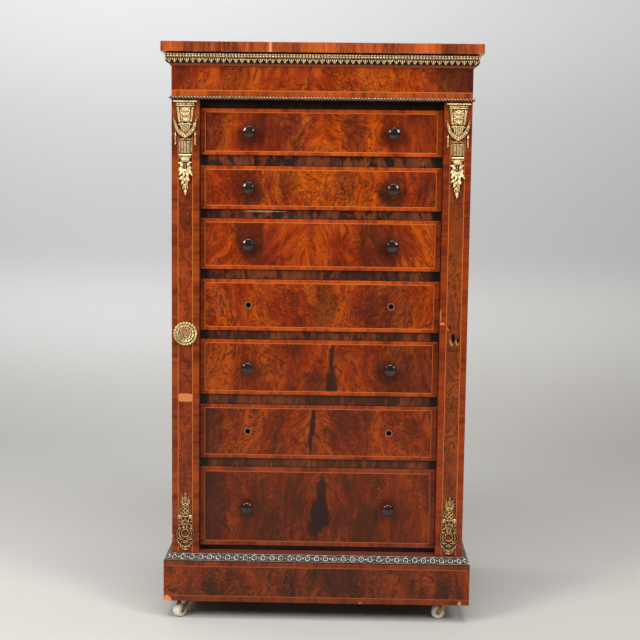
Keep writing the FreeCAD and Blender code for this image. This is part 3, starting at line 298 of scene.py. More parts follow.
inlay, given, made = new_group(
    "inlay_frame",
    [("Across", "value"), ("Up", "value"), ("Left", "value"), ("Right", "value"), ("Bottom", "value"),
     ("Top", "value"), ("String Width", "value")],
    [("Panel", "value"), ("String", "value"), ("Upright Band", "value")],
)
from_sides = calc(inlay, "MINIMUM", calc(inlay, "SUBTRACT", given["Across"], given["Left"]),
                  calc(inlay, "SUBTRACT", given["Right"], given["Across"]))
from_ends = calc(inlay, "MINIMUM", calc(inlay, "SUBTRACT", given["Up"], given["Bottom"]),
                 calc(inlay, "SUBTRACT", given["Top"], given["Up"]))
from_string = calc(inlay, "MINIMUM", from_sides, from_ends)
half_string = calc(inlay, "MULTIPLY", given["String Width"], 0.5)
outside = calc(inlay, "SUBTRACT", calc(inlay, "ABSOLUTE", from_string), half_string)
inlay.links.new(calc(inlay, "GREATER_THAN", from_string, 0.0), made["Panel"])
inlay.links.new(soft_step(inlay, outside, 0.0002, -0.0002), made["String"])
inlay.links.new(calc(inlay, "LESS_THAN", from_sides, from_ends), made["Upright Band"])

patch, given, made = new_group(
    "ragged_patch",
    [("Place", "vector"), ("Across", "value"), ("Up", "value"), ("Half Width", "value"),
     ("Half Height", "value"), ("Softness", "value"), ("Rag", "value"), ("Squareness", "value")],
    [("Mask", "value")],
)
across, upward, inward = split(patch, given["Place"])
sideways = calc(patch, "DIVIDE", calc(patch, "SUBTRACT", across, given["Across"]), given["Half Width"])
sideways = calc(patch, "ABSOLUTE", sideways)
lengthways = calc(patch, "DIVIDE", calc(patch, "SUBTRACT", upward, given["Up"]), given["Half Height"])
lengthways = calc(patch, "ABSOLUTE", lengthways)
reach = calc(patch, "ADD", calc(patch, "POWER", sideways, given["Squareness"]),
             calc(patch, "POWER", lengthways, given["Squareness"]))
rag_place = vector_calc(patch, "MULTIPLY", given["Place"], (1.0, 0.45, 1.0))
rags = calc(patch, "SUBTRACT", noise(patch, rag_place, 90.0, 5.0, 0.7, 0.6), 0.5)
reach = calc(patch, "MULTIPLY_ADD", rags, given["Rag"], reach)
outer_edge = calc(patch, "ADD", 1.0, given["Softness"])
inner_edge = calc(patch, "SUBTRACT", 1.0, given["Softness"])
patch.links.new(soft_step(patch, reach, outer_edge, inner_edge), made["Mask"])
print("crossband, inlay and patch groups ready")

# %% [markdown]
# ## Age and shade: worn edges, settled dirt with painted shade, and a hand-rubbed polish
# Old polish is never even. Cloths rub the high places, grime settles in the low ones, and
# corners lose their colour first. Painting this by hand takes hours and sits in one place only.
# A bevel node knows where an edge is, and an occlusion node knows where a dent is, so two small
# groups put wear on the edges, and grime together with painted shade in the dents, on every piece.

# %% Wear, dirt-and-shade and polish groups
wear, given, made = new_group(
    "worn_edges",
    [("Place", "vector"), ("Reach", "value"), ("Patchiness", "value")],
    [("Mask", "value")],
)
rounded = wear.nodes.new("ShaderNodeBevel")
rounded.samples = 4
feed(wear, rounded.inputs["Radius"], given["Reach"])
facing = wear.nodes.new("ShaderNodeNewGeometry").outputs["Normal"]
turned = calc(wear, "SUBTRACT", 1.0, vector_calc(wear, "DOT_PRODUCT", rounded.outputs[0], facing))
edge_share = soft_step(wear, turned, 0.01, 0.12)
rubbed = noise(wear, given["Place"], 55.0, 4.0, 0.7)
rubbed = soft_step(wear, rubbed, given["Patchiness"], calc(wear, "ADD", given["Patchiness"], 0.1))
wear.links.new(calc(wear, "MULTIPLY", edge_share, rubbed), made["Mask"])

# Occlusion darkening: dirt together with painted shade wherever the surface is closed in.
dirt_and_shade, given, made = new_group(
    "settled_dirt",
    [("Place", "vector"), ("Reach", "value")],
    [("Mask", "value")],
)
hidden = dirt_and_shade.nodes.new("ShaderNodeAmbientOcclusion")
hidden.samples = 6
feed(dirt_and_shade, hidden.inputs["Distance"], given["Reach"])
closed_in = calc(dirt_and_shade, "SUBTRACT", 1.0, hidden.outputs["AO"])
mottled = calc(dirt_and_shade, "MULTIPLY_ADD", noise(dirt_and_shade, given["Place"], 400.0, 3.0), 0.5, -0.25)
dirt_and_shade.links.new(soft_step(dirt_and_shade, calc(dirt_and_shade, "ADD", closed_in, mottled), 0.25, 0.75), made["Mask"])

polish, given, made = new_group(
    "hand_rubbed_polish",
    [("Place", "vector"), ("Smooth", "value"), ("Dull", "value")],
    [("Roughness", "value"), ("Height", "value")],
)
smears = noise(polish, vector_calc(polish, "MULTIPLY", given["Place"], (1.0, 1.0, 0.3)), 16.0, 3.0, 0.6)
scratches = noise(polish, vector_calc(polish, "MULTIPLY", given["Place"], (0.05, 1.0, 1.0)), 900.0, 1.0)
smear_share = soft_step(polish, smears, 0.35, 0.7)
scratch_share = calc(polish, "MULTIPLY", soft_step(polish, scratches, 0.62, 0.75), 0.25)
dullness = calc(polish, "ADD", smear_share, scratch_share)
span = calc(polish, "SUBTRACT", given["Dull"], given["Smooth"])
polish.links.new(calc(polish, "MULTIPLY_ADD", dullness, span, given["Smooth"]), made["Roughness"])
polish.links.new(calc(polish, "SUBTRACT", smears, scratch_share), made["Height"])
print("wear, dirt and polish groups ready")

# %% [markdown]
# ## One way to start every material
# Each finish ends in one Principled shader that stands in the material itself. One helper makes
# it and hands over the place of the surface in metres. A second one gives that place as
# (across, up, inward): boards that face sideways or up only need the coordinates in another
# order. The others join a bump for the relief, rub the edges pale and lay the polish.

# %% Material starter
def bare_material(name):
    """A node material, its tree, its shader and the surface's place as (x, y, z)."""
    material = bpy.data.materials.new(name)
    material.use_nodes = True
    tree = material.node_tree
    place = tree.nodes.new("ShaderNodeTexCoord").outputs["Object"]
    return material, tree, tree.nodes["Principled BSDF"], place


def new_material(name, facing="front"):
    """The same, with the surface's place as (across, up, inward)."""
    material, tree, shader, place = bare_material(name)
    x, y, z = split(tree, place)
    order = {"front": (x, z, y), "side": (y, z, x), "top": (x, y, z)}[facing]
    return material, tree, shader, join(tree, *order)


def add_bump(tree, shader, height, strength, distance):
    """Relief too fine to model."""
    bump = tree.nodes.new("ShaderNodeBump")
    bump.inputs["Strength"].default_value = strength
    bump.inputs["Distance"].default_value = distance
    tree.links.new(height, bump.inputs["Height"])
    tree.links.new(bump.outputs[0], shader.inputs["Normal"])


def wear_edges(tree, place, wood, reach, patchiness, strength, paler):
    """Rubs the edges, as wide as reach in millimetres, towards a paler wood."""
    worn = place_group(tree, wear, place=place, reach=reach * MM, patchiness=patchiness)
    return blend_colours(tree, calc(tree, "MULTIPLY", worn["Mask"], strength), wood, paler)


def french_polish(tree, shader, place, smooth=0.22, dull=0.42):
    """Thin shellac over wood: a clear coat with a softer sheen under it."""
    rubbed = place_group(tree, polish, place=place, smooth=smooth, dull=dull)
    tree.links.new(rubbed["Roughness"], shader.inputs["Roughness"])
    shader.inputs["Specular IOR Level"].default_value = 0.14
    shader.inputs["Coat Weight"].default_value = 0.1
    shader.inputs["Coat Roughness"].default_value = 0.12
    return rubbed["Height"]


print("material starter ready")

# %% [markdown]
# ## The woods
# Names are given to the woods once, in paint-chart numbers. The upper drawers are lighter orange
# and the lower ones darker red-brown, so each drawer leans towards its own tone.

# %% Wood colours
BURR_LIGHT = colour(172, 75, 10)
BURR_WARM = colour(132, 39, 7)
BURR_DARK = colour(80, 29, 10)
BURR_LIGHT_LOW = colour(142, 57, 10)
BURR_WARM_LOW = colour(104, 36, 9)
BURR_DARK_LOW = colour(64, 29, 11)
BAND_LIGHT = colour(176, 72, 16)
BAND_DARK = colour(118, 38, 12)
# Darker copies of the band woods, for the upright bands: painted shade.
BAND_SHADED_LIGHT = colour(104, 38, 14)
BAND_SHADED_DARK = colour(66, 23, 11)
STRING_WOOD = colour(190, 106, 48)
STRING_WIDTH = 1.3 * MM
BLACK_HEART = colour(30, 19, 15)
# Near black, for knots and for painted shade round the knobs.
KNOT_AND_SHADE_WOOD = colour(38, 22, 16)
CHIP_WOOD = colour(214, 146, 96)
print("wood colours ready")

# %% [markdown]
# ## Drawer fronts
# A front shows a burr panel, a string all round, and crossbands outside it. Some leaves carry a
# nearly black knot on the join, and the wood round the knobs is darker: partly from fingers over
# the years, partly painted shade of the knobs. Both are ragged patches laid over the burr. Where a
# knob is lost, its foot has left a pale ring round the bare hole. A table of the leaves keeps what
# differs from drawer to drawer.

# %% Drawer veneer
LEAVES = {
    1: dict(shift=(3.1, 0.2, 0.0), join=4.0, lean=0.25, tone=0.02, curl=0.9, low=0.0),
    2: dict(shift=(7.4, 1.7, 0.0), join=-2.0, lean=-0.2, tone=0.03, curl=1.0, low=0.0),
    3: dict(shift=(11.6, 3.3, 0.0), join=-30.0, lean=0.35, tone=0.03, curl=0.35, low=0.1),
    4: dict(shift=(15.2, 5.9, 0.0), join=22.0, lean=-0.3, tone=0.035, curl=0.9, low=0.1),
    5: dict(shift=(19.8, 7.1, 0.0), join=26.0, lean=0.2, tone=0.01, curl=0.7, low=0.45),
    6: dict(shift=(24.3, 8.8, 0.0), join=-12.0, lean=0.15, tone=0.0, curl=0.9, low=0.6,
            bands=(colour(148, 60, 20), colour(96, 34, 15))),
    7: dict(shift=(29.7, 12.2, 0.0), join=0.0, lean=0.1, tone=-0.02, curl=0.8, low=0.85,
            bands=(colour(138, 56, 22), colour(90, 34, 17))),
}
KNOB_X = 148.0
# Darker wood round each knob, set a little low: partly finger marks, partly painted shade of the knob.
KNOB_SHADE_AND_FINGER_MARKS = [(x, -7.0, 25.0, 26.0, 0.55, 0.7, 0.6) for x in (5.0 - KNOB_X, KNOB_X - 5.0)]
# Per drawer: knots on the join, darker ends and patches, and on some drawers painted shade round the knobs.
DARK_PATCHES_AND_KNOB_SHADE = {
    1: [(-62.0, 0.0, 26.0, 60.0, 0.45, 0.7, 2.6), (66.0, 4.0, 22.0, 56.0, 0.45, 0.7, 2.6),
        (-236.0, 0.0, 40.0, 90.0, 0.5, 0.7, 1.0), (-110.0, 0.0, 24.0, 80.0, 0.4, 0.5, 1.5),
        (196.0, 0.0, 34.0, 90.0, 0.35, 0.5, 1.0)],
    2: [(-68.0, 10.0, 26.0, 36.0, 0.4, 0.6, 2.6), (50.0, 6.0, 24.0, 40.0, 0.4, 0.6, 2.6),
        (-150.0, -6.0, 34.0, 44.0, 0.4, 0.4, 1.2), (150.0, -6.0, 34.0, 44.0, 0.4, 0.4, 1.2),
        (228.0, -10.0, 26.0, 40.0, 0.4, 0.5, 1.6)],
    3: [(-148.0, 22.0, 33.0, 56.0, 0.5, 0.25, 0.8), (120.0, 0.0, 44.0, 90.0, 0.55, 0.25, 0.8)],
    4: [(12.0, 0.0, 24.0, 60.0, 0.5, 0.6, 2.6), (140.0, 0.0, 60.0, 70.0, 0.4, 0.6, 1.4)],
    5: [(27.0, 26.0, 6.0, 30.0, 0.9, 0.4, 3.0), (27.0, -24.0, 13.0, 34.0, 0.85, 0.5, 4.0),
        (4.0, -28.0, 34.0, 26.0, 0.5, 0.6, 3.0), (2.0, 14.0, 7.0, 6.0, 0.6, 0.6, 3.0),
        (190.0, 0.0, 70.0, 90.0, 0.4, 0.6, 1.2)],
    6: [(-11.0, 22.0, 5.5, 34.0, 0.95, 0.25, 2.6), (-16.0, -24.0, 4.5, 30.0, 0.9, 0.25, 2.6),
        (-232.0, 0.0, 34.0, 90.0, 0.6, 0.5, 1.0), (98.0, 30.0, 20.0, 22.0, 0.5, 0.6, 3.0),
        (40.0, 8.0, 26.0, 50.0, 0.35, 0.6, 3.0)],
    7: [(9.0, 34.0, 11.0, 40.0, 0.85, 0.3, 3.0), (6.0, -14.0, 20.0, 44.0, 0.93, 0.2, 2.2),
        (-6.0, -44.0, 15.0, 26.0, 0.85, 0.3, 3.2), (-228.0, 0.0, 44.0, 130.0, 0.6, 0.5, 1.0),
        (0.0, -30.0, 80.0, 50.0, 0.35, 0.7, 2.6)],
}


def lay_patches(tree, place, wood, patches, middle, paint, squareness=1.5):
    """Lays ragged patches. Each is (across, up, half width, half height, strength, softness, rag)."""
    for x, z, half_width, half_height, strength, softness, rag in patches:
        mask = place_group(tree, patch, place=place, across=middle[0] + x * MM, up=middle[1] + z * MM,
                           half_width=half_width * MM, half_height=half_height * MM,
                           softness=softness, rag=rag, squareness=squareness)
        wood = blend_colours(tree, calc(tree, "MULTIPLY", mask["Mask"], strength), wood, paint)
    return wood


# Each ring is (outer radius, inner radius, strength, colour), laid in this order.
# The last ring darkens each hole and its countersink: worn wood together with painted shade.
HOLE_RINGS = ((13.0, 7.0, 0.4, BLACK_HEART), (8.2, 7.0, 0.4, CHIP_WOOD), (6.6, 5.6, 0.95, BLACK_HEART))


def bare_holes(tree, across, upward, wood, middle):
    """Pale rings that lost knobs left, a darker ring round them, and near black inside them: worn wood
    together with painted shade.
    """
    for x in (-KNOB_X, KNOB_X):
        beside = calc(tree, "SUBTRACT", across, middle[0] + x * MM)
        above = calc(tree, "SUBTRACT", upward, middle[1])
        squared = calc(tree, "MULTIPLY_ADD", beside, beside, calc(tree, "MULTIPLY", above, above))
        distance = calc(tree, "SQRT", squared)
        for outer, inner, strength, paint in HOLE_RINGS:
            mask = soft_step(tree, distance, outer * MM, inner * MM)
            wood = blend_colours(tree, calc(tree, "MULTIPLY", mask, strength), wood, paint)
    return wood


def mixed(first, second, share):
    """A colour between two."""
    return tuple(a + (b - a) * share for a, b in zip(first, second))


def burr_panel(tree, place, leaf, light, warm, dark):
    """One leaf of burr walnut over the whole face."""
    return place_group(tree, burr, place=place, shift=leaf["shift"], join=leaf["join"] * MM,
                       lean=leaf["lean"], tone=leaf["tone"], curl=leaf["curl"], light_wood=light,
                       warm_wood=warm, dark_wood=dark)


def inlaid_front(name, lines, leaf, band_seed, patches=(), middle=(0.0, 0.0), facing="front", scars=(),
                 holes=False):
    """Burr panel, string and crossbands. lines gives the string's left, right, bottom and top.

    scars lists (paint, squareness, patches) that lie over the string and the bands too.
    """
    material, tree, shader, place = new_material(name, facing)
    across, upward, inward = split(tree, place)
    low = leaf["low"]
    light, warm, dark = leaf.get("woods", (
        mixed(BURR_LIGHT, BURR_LIGHT_LOW, low), mixed(BURR_WARM, BURR_WARM_LOW, low),
        mixed(BURR_DARK, BURR_DARK_LOW, low)))
    panel = burr_panel(tree, place, leaf, light, warm, dark)
    # Knots, darker patches and painted shade round the knobs, in one near-black colour.
    wood = lay_patches(tree, place, panel["Colour"], patches, middle, KNOT_AND_SHADE_WOOD)
    if "cracks" in leaf:
        level_place = join(tree, calc(tree, "MULTIPLY", across, 0.2), upward, 0.0)
        cracks = noise(tree, level_place, 130.0, 3.0, 0.6)
        cracks = soft_step(tree, cracks, leaf["cracks"], leaf["cracks"] + 0.06)
        wood = blend_colours(tree, calc(tree, "MULTIPLY", cracks, 0.6), wood, dark)
    left, right, bottom, top = lines
    parts = place_group(tree, inlay, across=across, up=upward, left=left, right=right, bottom=bottom, top=top,
                        string_width=STRING_WIDTH)
    band_light, band_dark = leaf.get("bands", (mixed(BAND_LIGHT, BURR_LIGHT_LOW, low * 0.6),
                                               mixed(BAND_DARK, BURR_DARK_LOW, low * 0.3)))
    round_corner = calc(tree, "ADD", across, inward)
    level = place_group(tree, crossband, along=round_corner, across=upward, seed=band_seed,
                        light_wood=band_light, dark_wood=band_dark)
    # The upright bands are mixed towards darker woods: painted shade, as the stiles cast on the drawer ends.
    upright = place_group(tree, crossband, along=upward, across=across, seed=band_seed + 3.0,
                          light_wood=mixed(band_light, BAND_SHADED_LIGHT, 0.6),
                          dark_wood=mixed(band_dark, BAND_SHADED_DARK, 0.6))
    band = blend_colours(tree, parts["Upright Band"], level["Colour"], upright["Colour"])
    wood = blend_colours(tree, parts["Panel"], band, wood)
    string = mixed(STRING_WOOD, band_light, 0.2 + 0.4 * low)
    wood = blend_colours(tree, parts["String"], wood, string)
    if holes:
        wood = bare_holes(tree, across, upward, wood, middle)
    for paint, squareness, scar_patches in scars:
        wood = lay_patches(tree, place, wood, scar_patches, middle, paint, squareness)
    wood = wear_edges(tree, place, wood, 1.2, 0.52, 0.7, mixed(STRING_WOOD, BAND_LIGHT, 0.5))
    tree.links.new(wood, shader.inputs["Base Color"])
    rubbed = french_polish(tree, shader, place)
    relief = calc(tree, "MULTIPLY_ADD", panel["Height"], 0.35, rubbed)
    add_bump(tree, shader, relief, 0.12, 0.0004)
    return material


# How far the string lies from the left, right, bottom and top edge, in millimetres.
STRING_INSETS = (9.7, 11.7, 7.6, 7.6)
BOTTOM_DRAWER_INSETS = (9.7, 11.7, 9.7, 9.7)


def dress(node, material):
    """Gives a solid of the frame its finish."""
    solid = frame["nodes"][node]
    solid.data.materials.clear()
    solid.data.materials.append(material)


for number in DRAWERS:
    low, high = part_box(f"drawer_{number}_front")
    left, right, bottom, top = BOTTOM_DRAWER_INSETS if number == 7 else STRING_INSETS
    lines = (low.x + left * MM, high.x - right * MM, low.z + bottom * MM, high.z - top * MM)
    middle = ((low.x + high.x) / 2, (low.z + high.z) / 2)
    has_knobs = number in DRAWERS_WITH_KNOBS
    marks = DARK_PATCHES_AND_KNOB_SHADE[number] + (KNOB_SHADE_AND_FINGER_MARKS if has_knobs else [])
    veneer = inlaid_front(f"drawer_{number}_veneer", lines, LEAVES[number], 10.0 * number, marks, middle,
                          holes=not has_knobs)
    dress(f"drawer_{number}_front", veneer)
print("drawer fronts dressed")

# %% [markdown]
# ## Stiles, frieze and plinth
# The two stiles carry a narrow strip of walnut laid across, between two strings, with crossbands
# outside. The frieze has one string low down, and the plinth one near each edge. All four use
# the same inlaid face as the drawers, with lines that lie outside the board where there is none.
# Age has marked them: a pale piece let into the left stile, splintered holes round the keyhole
# where a rosette was torn off, and corners of the plinth where the veneer has chipped away.

# %% Stiles, frieze and plinth
FAR = 10.0
STILE_STRINGS = 15.0 * MM
FRIEZE_STRING_RISE = 17.4 * MM
PLINTH_STRING_DROP = 10.1 * MM
PLINTH_STRING_RISE = 11.8 * MM
PLINTH_WOODS = (colour(138, 56, 18), colour(96, 39, 15), colour(50, 27, 15))
PLINTH_BANDS = (colour(124, 52, 20), colour(84, 34, 16))
stile_leaf = dict(join=300.0, lean=0.0, tone=0.04, curl=0.4, low=0.3, cracks=0.6)
STILE_LEAVES = {
    "fixed_stile": dict(stile_leaf, shift=(41.0, 2.0, 0.0),
                        woods=(colour(146, 60, 22), colour(116, 42, 17), colour(70, 31, 15)),
                        bands=(colour(176, 84, 26), colour(112, 42, 16))),
    "locking_stile": dict(stile_leaf, shift=(47.0, 5.0, 0.0),
                          woods=(colour(140, 64, 22), colour(112, 47, 18), colour(68, 32, 16))),
}
frieze_leaf = dict(shift=(52.0, 4.0, 0.0), join=-30.0, lean=0.2, tone=0.01, curl=1.0, low=0.1,
                   bands=(colour(166, 76, 26), colour(108, 42, 18)))
plinth_leaf = dict(shift=(63.0, 6.0, 0.0), join=10.0, lean=0.1, tone=0.0, curl=1.0, low=1.0,
                   woods=PLINTH_WOODS, bands=PLINTH_BANDS)
SPLINTER = mixed(CHIP_WOOD, STRING_WOOD, 0.2)
LET_IN = mixed(CHIP_WOOD, STRING_WOOD, 0.6)
STILE_SCARS = {
    "fixed_stile": [
        (LET_IN, 6.0, [(0.0, 472.5, 14.5, 8.5, 0.85, 0.15, 0.5)]),
        (SPLINTER, 1.5, [(-28.6, 177.0, 2.8, 6.0, 0.7, 0.3, 2.0)])],
    "locking_stile": [
        (SPLINTER, 1.5, [(-24.0, 634.0, 7.4, 2.6, 0.75, 0.3, 1.6), (-27.6, 650.0, 2.0, 13.0, 0.5, 0.3, 2.4),
                         (-2.8, 597.0, 4.8, 8.4, 0.55, 0.3, 1.6), (8.4, 597.0, 4.2, 7.4, 0.6, 0.3, 1.6),
                         (-9.4, 625.0, 3.8, 4.8, 0.6, 0.3, 1.6)]),
        # Near-black patches on the holes round the keyhole: painted shade inside the holes.
        (BLACK_HEART, 1.5, [(-0.6, 604.0, 4.6, 11.5, 1.0, 0.2, 1.0), (9.4, 600.0, 3.4, 7.0, 1.0, 0.2, 1.6),
                            (-8.4, 626.0, 3.0, 5.2, 1.0, 0.2, 1.6)])],
}

for node, side_x in SIDES.items():
    lines = (side_x - STILE_STRINGS, side_x + STILE_STRINGS, -FAR, FAR)
    dress(node, inlaid_front(f"{node}_veneer", lines, STILE_LEAVES[node], 80.0 + 100.0 * side_x,
                             middle=(side_x, 0.0), scars=STILE_SCARS[node]))
frieze_lines = (-FAR, FAR, frieze_low.z + FRIEZE_STRING_RISE, FAR)
frieze_ends = [(-172.0, 20.0, 34.0, 60.0, 0.35, 0.6, 2.6), (290.0, 20.0, 60.0, 120.0, 0.75, 0.6, 1.2),
               (-290.0, 20.0, 26.0, 90.0, 0.4, 0.6, 1.4)]
frieze_middle = (0.0, frieze_low.z + 2 * FRIEZE_STRING_RISE)
dress("frieze", inlaid_front("frieze_veneer", frieze_lines, frieze_leaf, 61.0, frieze_ends, frieze_middle))
plinth_lines = (-FAR, FAR, plinth_low.z + PLINTH_STRING_RISE, plinth_high.z - PLINTH_STRING_DROP)
plinth_foot = (0.0, plinth_low.z)
plinth_chips = [(SPLINTER, 1.5, [(-315.0, 0.0, 11.0, 13.0, 0.9, 0.2, 2.0),
                                 (301.0, 4.0, 4.0, 6.0, 0.8, 0.3, 2.0),
                                 (92.0, 0.0, 3.0, 3.0, 0.8, 0.3, 1.0)])]
dress("plinth_frame", inlaid_front("plinth_veneer", plinth_lines, plinth_leaf, 71.0, middle=plinth_foot,
                                   scars=plinth_chips))
print("stiles, frieze and plinth dressed")

# %% [markdown]
# ## Sides and top
# The sides are seen edge-on from the front and in full from beside, so they get whole leaves of
# walnut with a string and a crossband of their own. The top has a crossbanded edge whose stripes
# run round the corner: adding the two level coordinates makes one that does so.

# %% Sides and top
SIDE_STRING_INSET = 12.0 * MM
TOP_STRING_INSET = 34.0 * MM
TOP_FACE_DEPTH = 1.2 * MM
side_leaf = dict(join=20.0, lean=0.12, tone=0.0, curl=0.45, low=0.55)
top_leaf = dict(shift=(85.0, 3.0, 0.0), join=0.0, lean=0.3, tone=0.02, curl=0.8)
for number, node in enumerate(("side_left", "side_right")):
    low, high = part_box(node)
    lines = (low.y + SIDE_STRING_INSET, high.y - SIDE_STRING_INSET, low.z + SIDE_STRING_INSET, FAR)
    leaf = dict(side_leaf, shift=(74.0 + 9.0 * number, 1.0, 0.0))
    dress(node, inlaid_front(f"{node}_veneer", lines, leaf, 90.0 + number, facing="side"))

material, tree, shader, place = new_material("top_veneer", "top")
across, backward, height = split(tree, place)
panel = burr_panel(tree, place, top_leaf, BURR_LIGHT, BURR_WARM, BURR_DARK)
parts = place_group(tree, inlay, across=across, up=backward, left=top_low.x + TOP_STRING_INSET,
                    right=top_high.x - TOP_STRING_INSET, bottom=top_low.y + TOP_STRING_INSET,
                    top=top_high.y - TOP_STRING_INSET, string_width=STRING_WIDTH)
round_corner = calc(tree, "ADD", across, backward)
edge = place_group(tree, crossband, along=round_corner, across=height, seed=5.0,
                   light_wood=colour(184, 86, 34), dark_wood=colour(84, 32, 22))
level = place_group(tree, crossband, along=across, across=backward, seed=6.0, light_wood=BAND_LIGHT,
                    dark_wood=BAND_DARK)
upright = place_group(tree, crossband, along=backward, across=across, seed=7.0, light_wood=BAND_LIGHT,
                      dark_wood=BAND_DARK)
wood = blend_colours(tree, parts["Upright Band"], level["Colour"], upright["Colour"])
wood = blend_colours(tree, parts["Panel"], wood, panel["Colour"])
wood = blend_colours(tree, parts["String"], wood, STRING_WOOD)
is_edge = calc(tree, "LESS_THAN", height, top_high.z - TOP_FACE_DEPTH)
edge_wood = edge["Colour"]
edge_depth = (top_high.y - top_low.y) / MM
for x, half_width, strength, paint in ((-60.0, 60.0, 0.35, BLACK_HEART), (-262.0, 40.0, 0.3, BLACK_HEART),
                                       (150.0, 46.0, 0.35, BLACK_HEART), (262.0, 30.0, 0.3, BLACK_HEART),
                                       (-104.0, 3.4, 0.85, SPLINTER)):
    edge_wood = lay_patches(tree, place, edge_wood, [(x, 0.0, half_width, edge_depth, strength, 0.4, 0.8)],
                            (0.0, 0.0), paint)
wood = blend_colours(tree, is_edge, wood, edge_wood)
wood = wear_edges(tree, place, wood, 1.5, 0.5, 0.6, CHIP_WOOD)
tree.links.new(wood, shader.inputs["Base Color"])
rubbed = french_polish(tree, shader, place)
add_bump(tree, shader, calc(tree, "MULTIPLY_ADD", panel["Height"], 0.35, rubbed), 0.12, 0.0004)
dress("top_board", material)
print("sides and top dressed")

# %% [markdown]
# ## Rosewood rails
# The rails between the drawers are nearly black rosewood laid upright, in short pieces, so black
# and brown stand side by side. The lower rails have faded more, and show more of the brown. The
# ends of each rail turn black beside the stiles as painted shade, and the two end rails are nearly
# black: a black stain together with painted shade.

# %% Rails
# Where the painted shade at each rail's end, beside the stiles, begins and is full.
RAIL_END_SHADE = (0.228, 0.236)


def striped_rail(name, light, dark, seed, glints=()):
    """Short upright pieces of dark veneer. glints are pale lines: partly worn scratches, partly painted
    highlights.

    The lowest rails keep little more than half of their black share, and the highest nearly all.
    """
    material, tree, shader, place = new_material(name)
    across, upward = split(tree, place)[:2]
    stripes = place_group(tree, crossband, along=across, across=upward, seed=seed, light_wood=light,
                          dark_wood=dark)
    upright = join(tree, across, calc(tree, "MULTIPLY", upward, 0.4), seed)
    flames = noise(tree, bent(tree, upright, 60.0, 0.012, 2.0), 62.0, 4.0, 0.62)
    pieces = noise(tree, upright, 9.0, 1.0)
    blackness = calc(tree, "MULTIPLY_ADD", pieces, 0.55, calc(tree, "MULTIPLY", flames, 0.8))
    unfaded = calc(tree, "MULTIPLY_ADD", soft_step(tree, upward, 0.35, 0.95), 0.36, 0.56)
    black_share = calc(tree, "MULTIPLY", soft_step(tree, blackness, 0.64, 0.71), unfaded)
    wood = blend_colours(tree, black_share, stripes["Colour"], BLACK_HEART)
    # Each end turns black beside the stiles: painted shade.
    for end in (-1, 1):
        near_end = soft_step(tree, calc(tree, "MULTIPLY", across, end), *RAIL_END_SHADE)
        wood = blend_colours(tree, near_end, wood, BLACK_HEART)
    # Pale glints: worn scratches together with a painted highlight along the rail's edge.
    wood = lay_patches(tree, place, wood, glints, (0.0, 0.0), colour(170, 150, 140))
    wood = wear_edges(tree, place, wood, 1.0, 0.56, 0.5, colour(150, 84, 50))
    tree.links.new(wood, shader.inputs["Base Color"])
    rubbed = french_polish(tree, shader, place, 0.25, 0.5)
    add_bump(tree, shader, rubbed, 0.12, 0.0004)
    return material


second_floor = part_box("drawer_2_front")[0].z / MM
dress("drawer_rails", striped_rail("rosewood_rails", colour(112, 54, 26), colour(58, 30, 18), 31.0,
                                   [(-118.0, second_floor - 4.0, 42.0, 1.6, 0.6, 0.5, 3.0)]))
# The end rails are nearly black: a black stain together with painted shade of the recesses over and under the
# drawers.
dress("end_rails", striped_rail("blackened_rails", colour(44, 26, 20), colour(24, 16, 14), 37.0))
print("rails dressed")

# %% [markdown]
# ## Plain oak inside
# Drawer sides, runners and the back are oak: straight grain along the board, short dark pores,
# and no polish. The grain can run along any axis, so the group takes three stretch values.

# %% Oak group and oak boards
oak, given, made = new_group(
    "plain_oak",
    [("Place", "vector"), ("Stretch", "vector"), ("Light Wood", "colour"), ("Dark Wood", "colour")],
    [("Colour", "colour"), ("Height", "value")],
)
grain_place = vector_calc(oak, "MULTIPLY", given["Place"], given["Stretch"])
bands = noise(oak, grain_place, 26.0, 3.0, 0.55, 0.6)
lines = calc(oak, "SINE", calc(oak, "MULTIPLY", bands, 90.0))
pores = noise(oak, grain_place, 520.0, 2.0)
wood = blend_colours(oak, soft_step(oak, lines, -0.6, 1.0), given["Dark Wood"], given["Light Wood"])
pore_share = calc(oak, "MULTIPLY", soft_step(oak, pores, 0.58, 0.68), 0.55)
wood = blend_colours(oak, pore_share, wood, given["Dark Wood"])
oak.links.new(wood, made["Colour"])
oak.links.new(calc(oak, "SUBTRACT", bands, pores), made["Height"])

OAK_LIGHT = colour(176, 132, 82)
OAK_DARK = colour(112, 74, 42)
GRAIN_ALONG = {"across": (0.06, 1.0, 1.0), "back": (1.0, 0.06, 1.0), "up": (1.0, 1.0, 0.06)}


def oak_board(name, grain, light=OAK_LIGHT, dark=OAK_DARK):
    """Unpolished oak with its grain along one axis, darkened in the corners by dirt together with painted
    shade.
    """
    material, tree, shader, place = bare_material(name)
    board = place_group(tree, oak, place=place, stretch=GRAIN_ALONG[grain], light_wood=light, dark_wood=dark)
    # Darker in the corners: dirt together with painted shade.
    grime = place_group(tree, dirt_and_shade, place=place, reach=12.0 * MM)
    dirt_and_shade_share = calc(tree, "MULTIPLY", grime["Mask"], 0.6)
    wood = blend_colours(tree, dirt_and_shade_share, board["Colour"], colour(60, 42, 28))
    tree.links.new(wood, shader.inputs["Base Color"])
    rough = calc(tree, "MULTIPLY_ADD", board["Height"], 0.2, 0.62)
    tree.links.new(rough, shader.inputs["Roughness"])
    add_bump(tree, shader, board["Height"], 0.3, 0.0005)
    return material


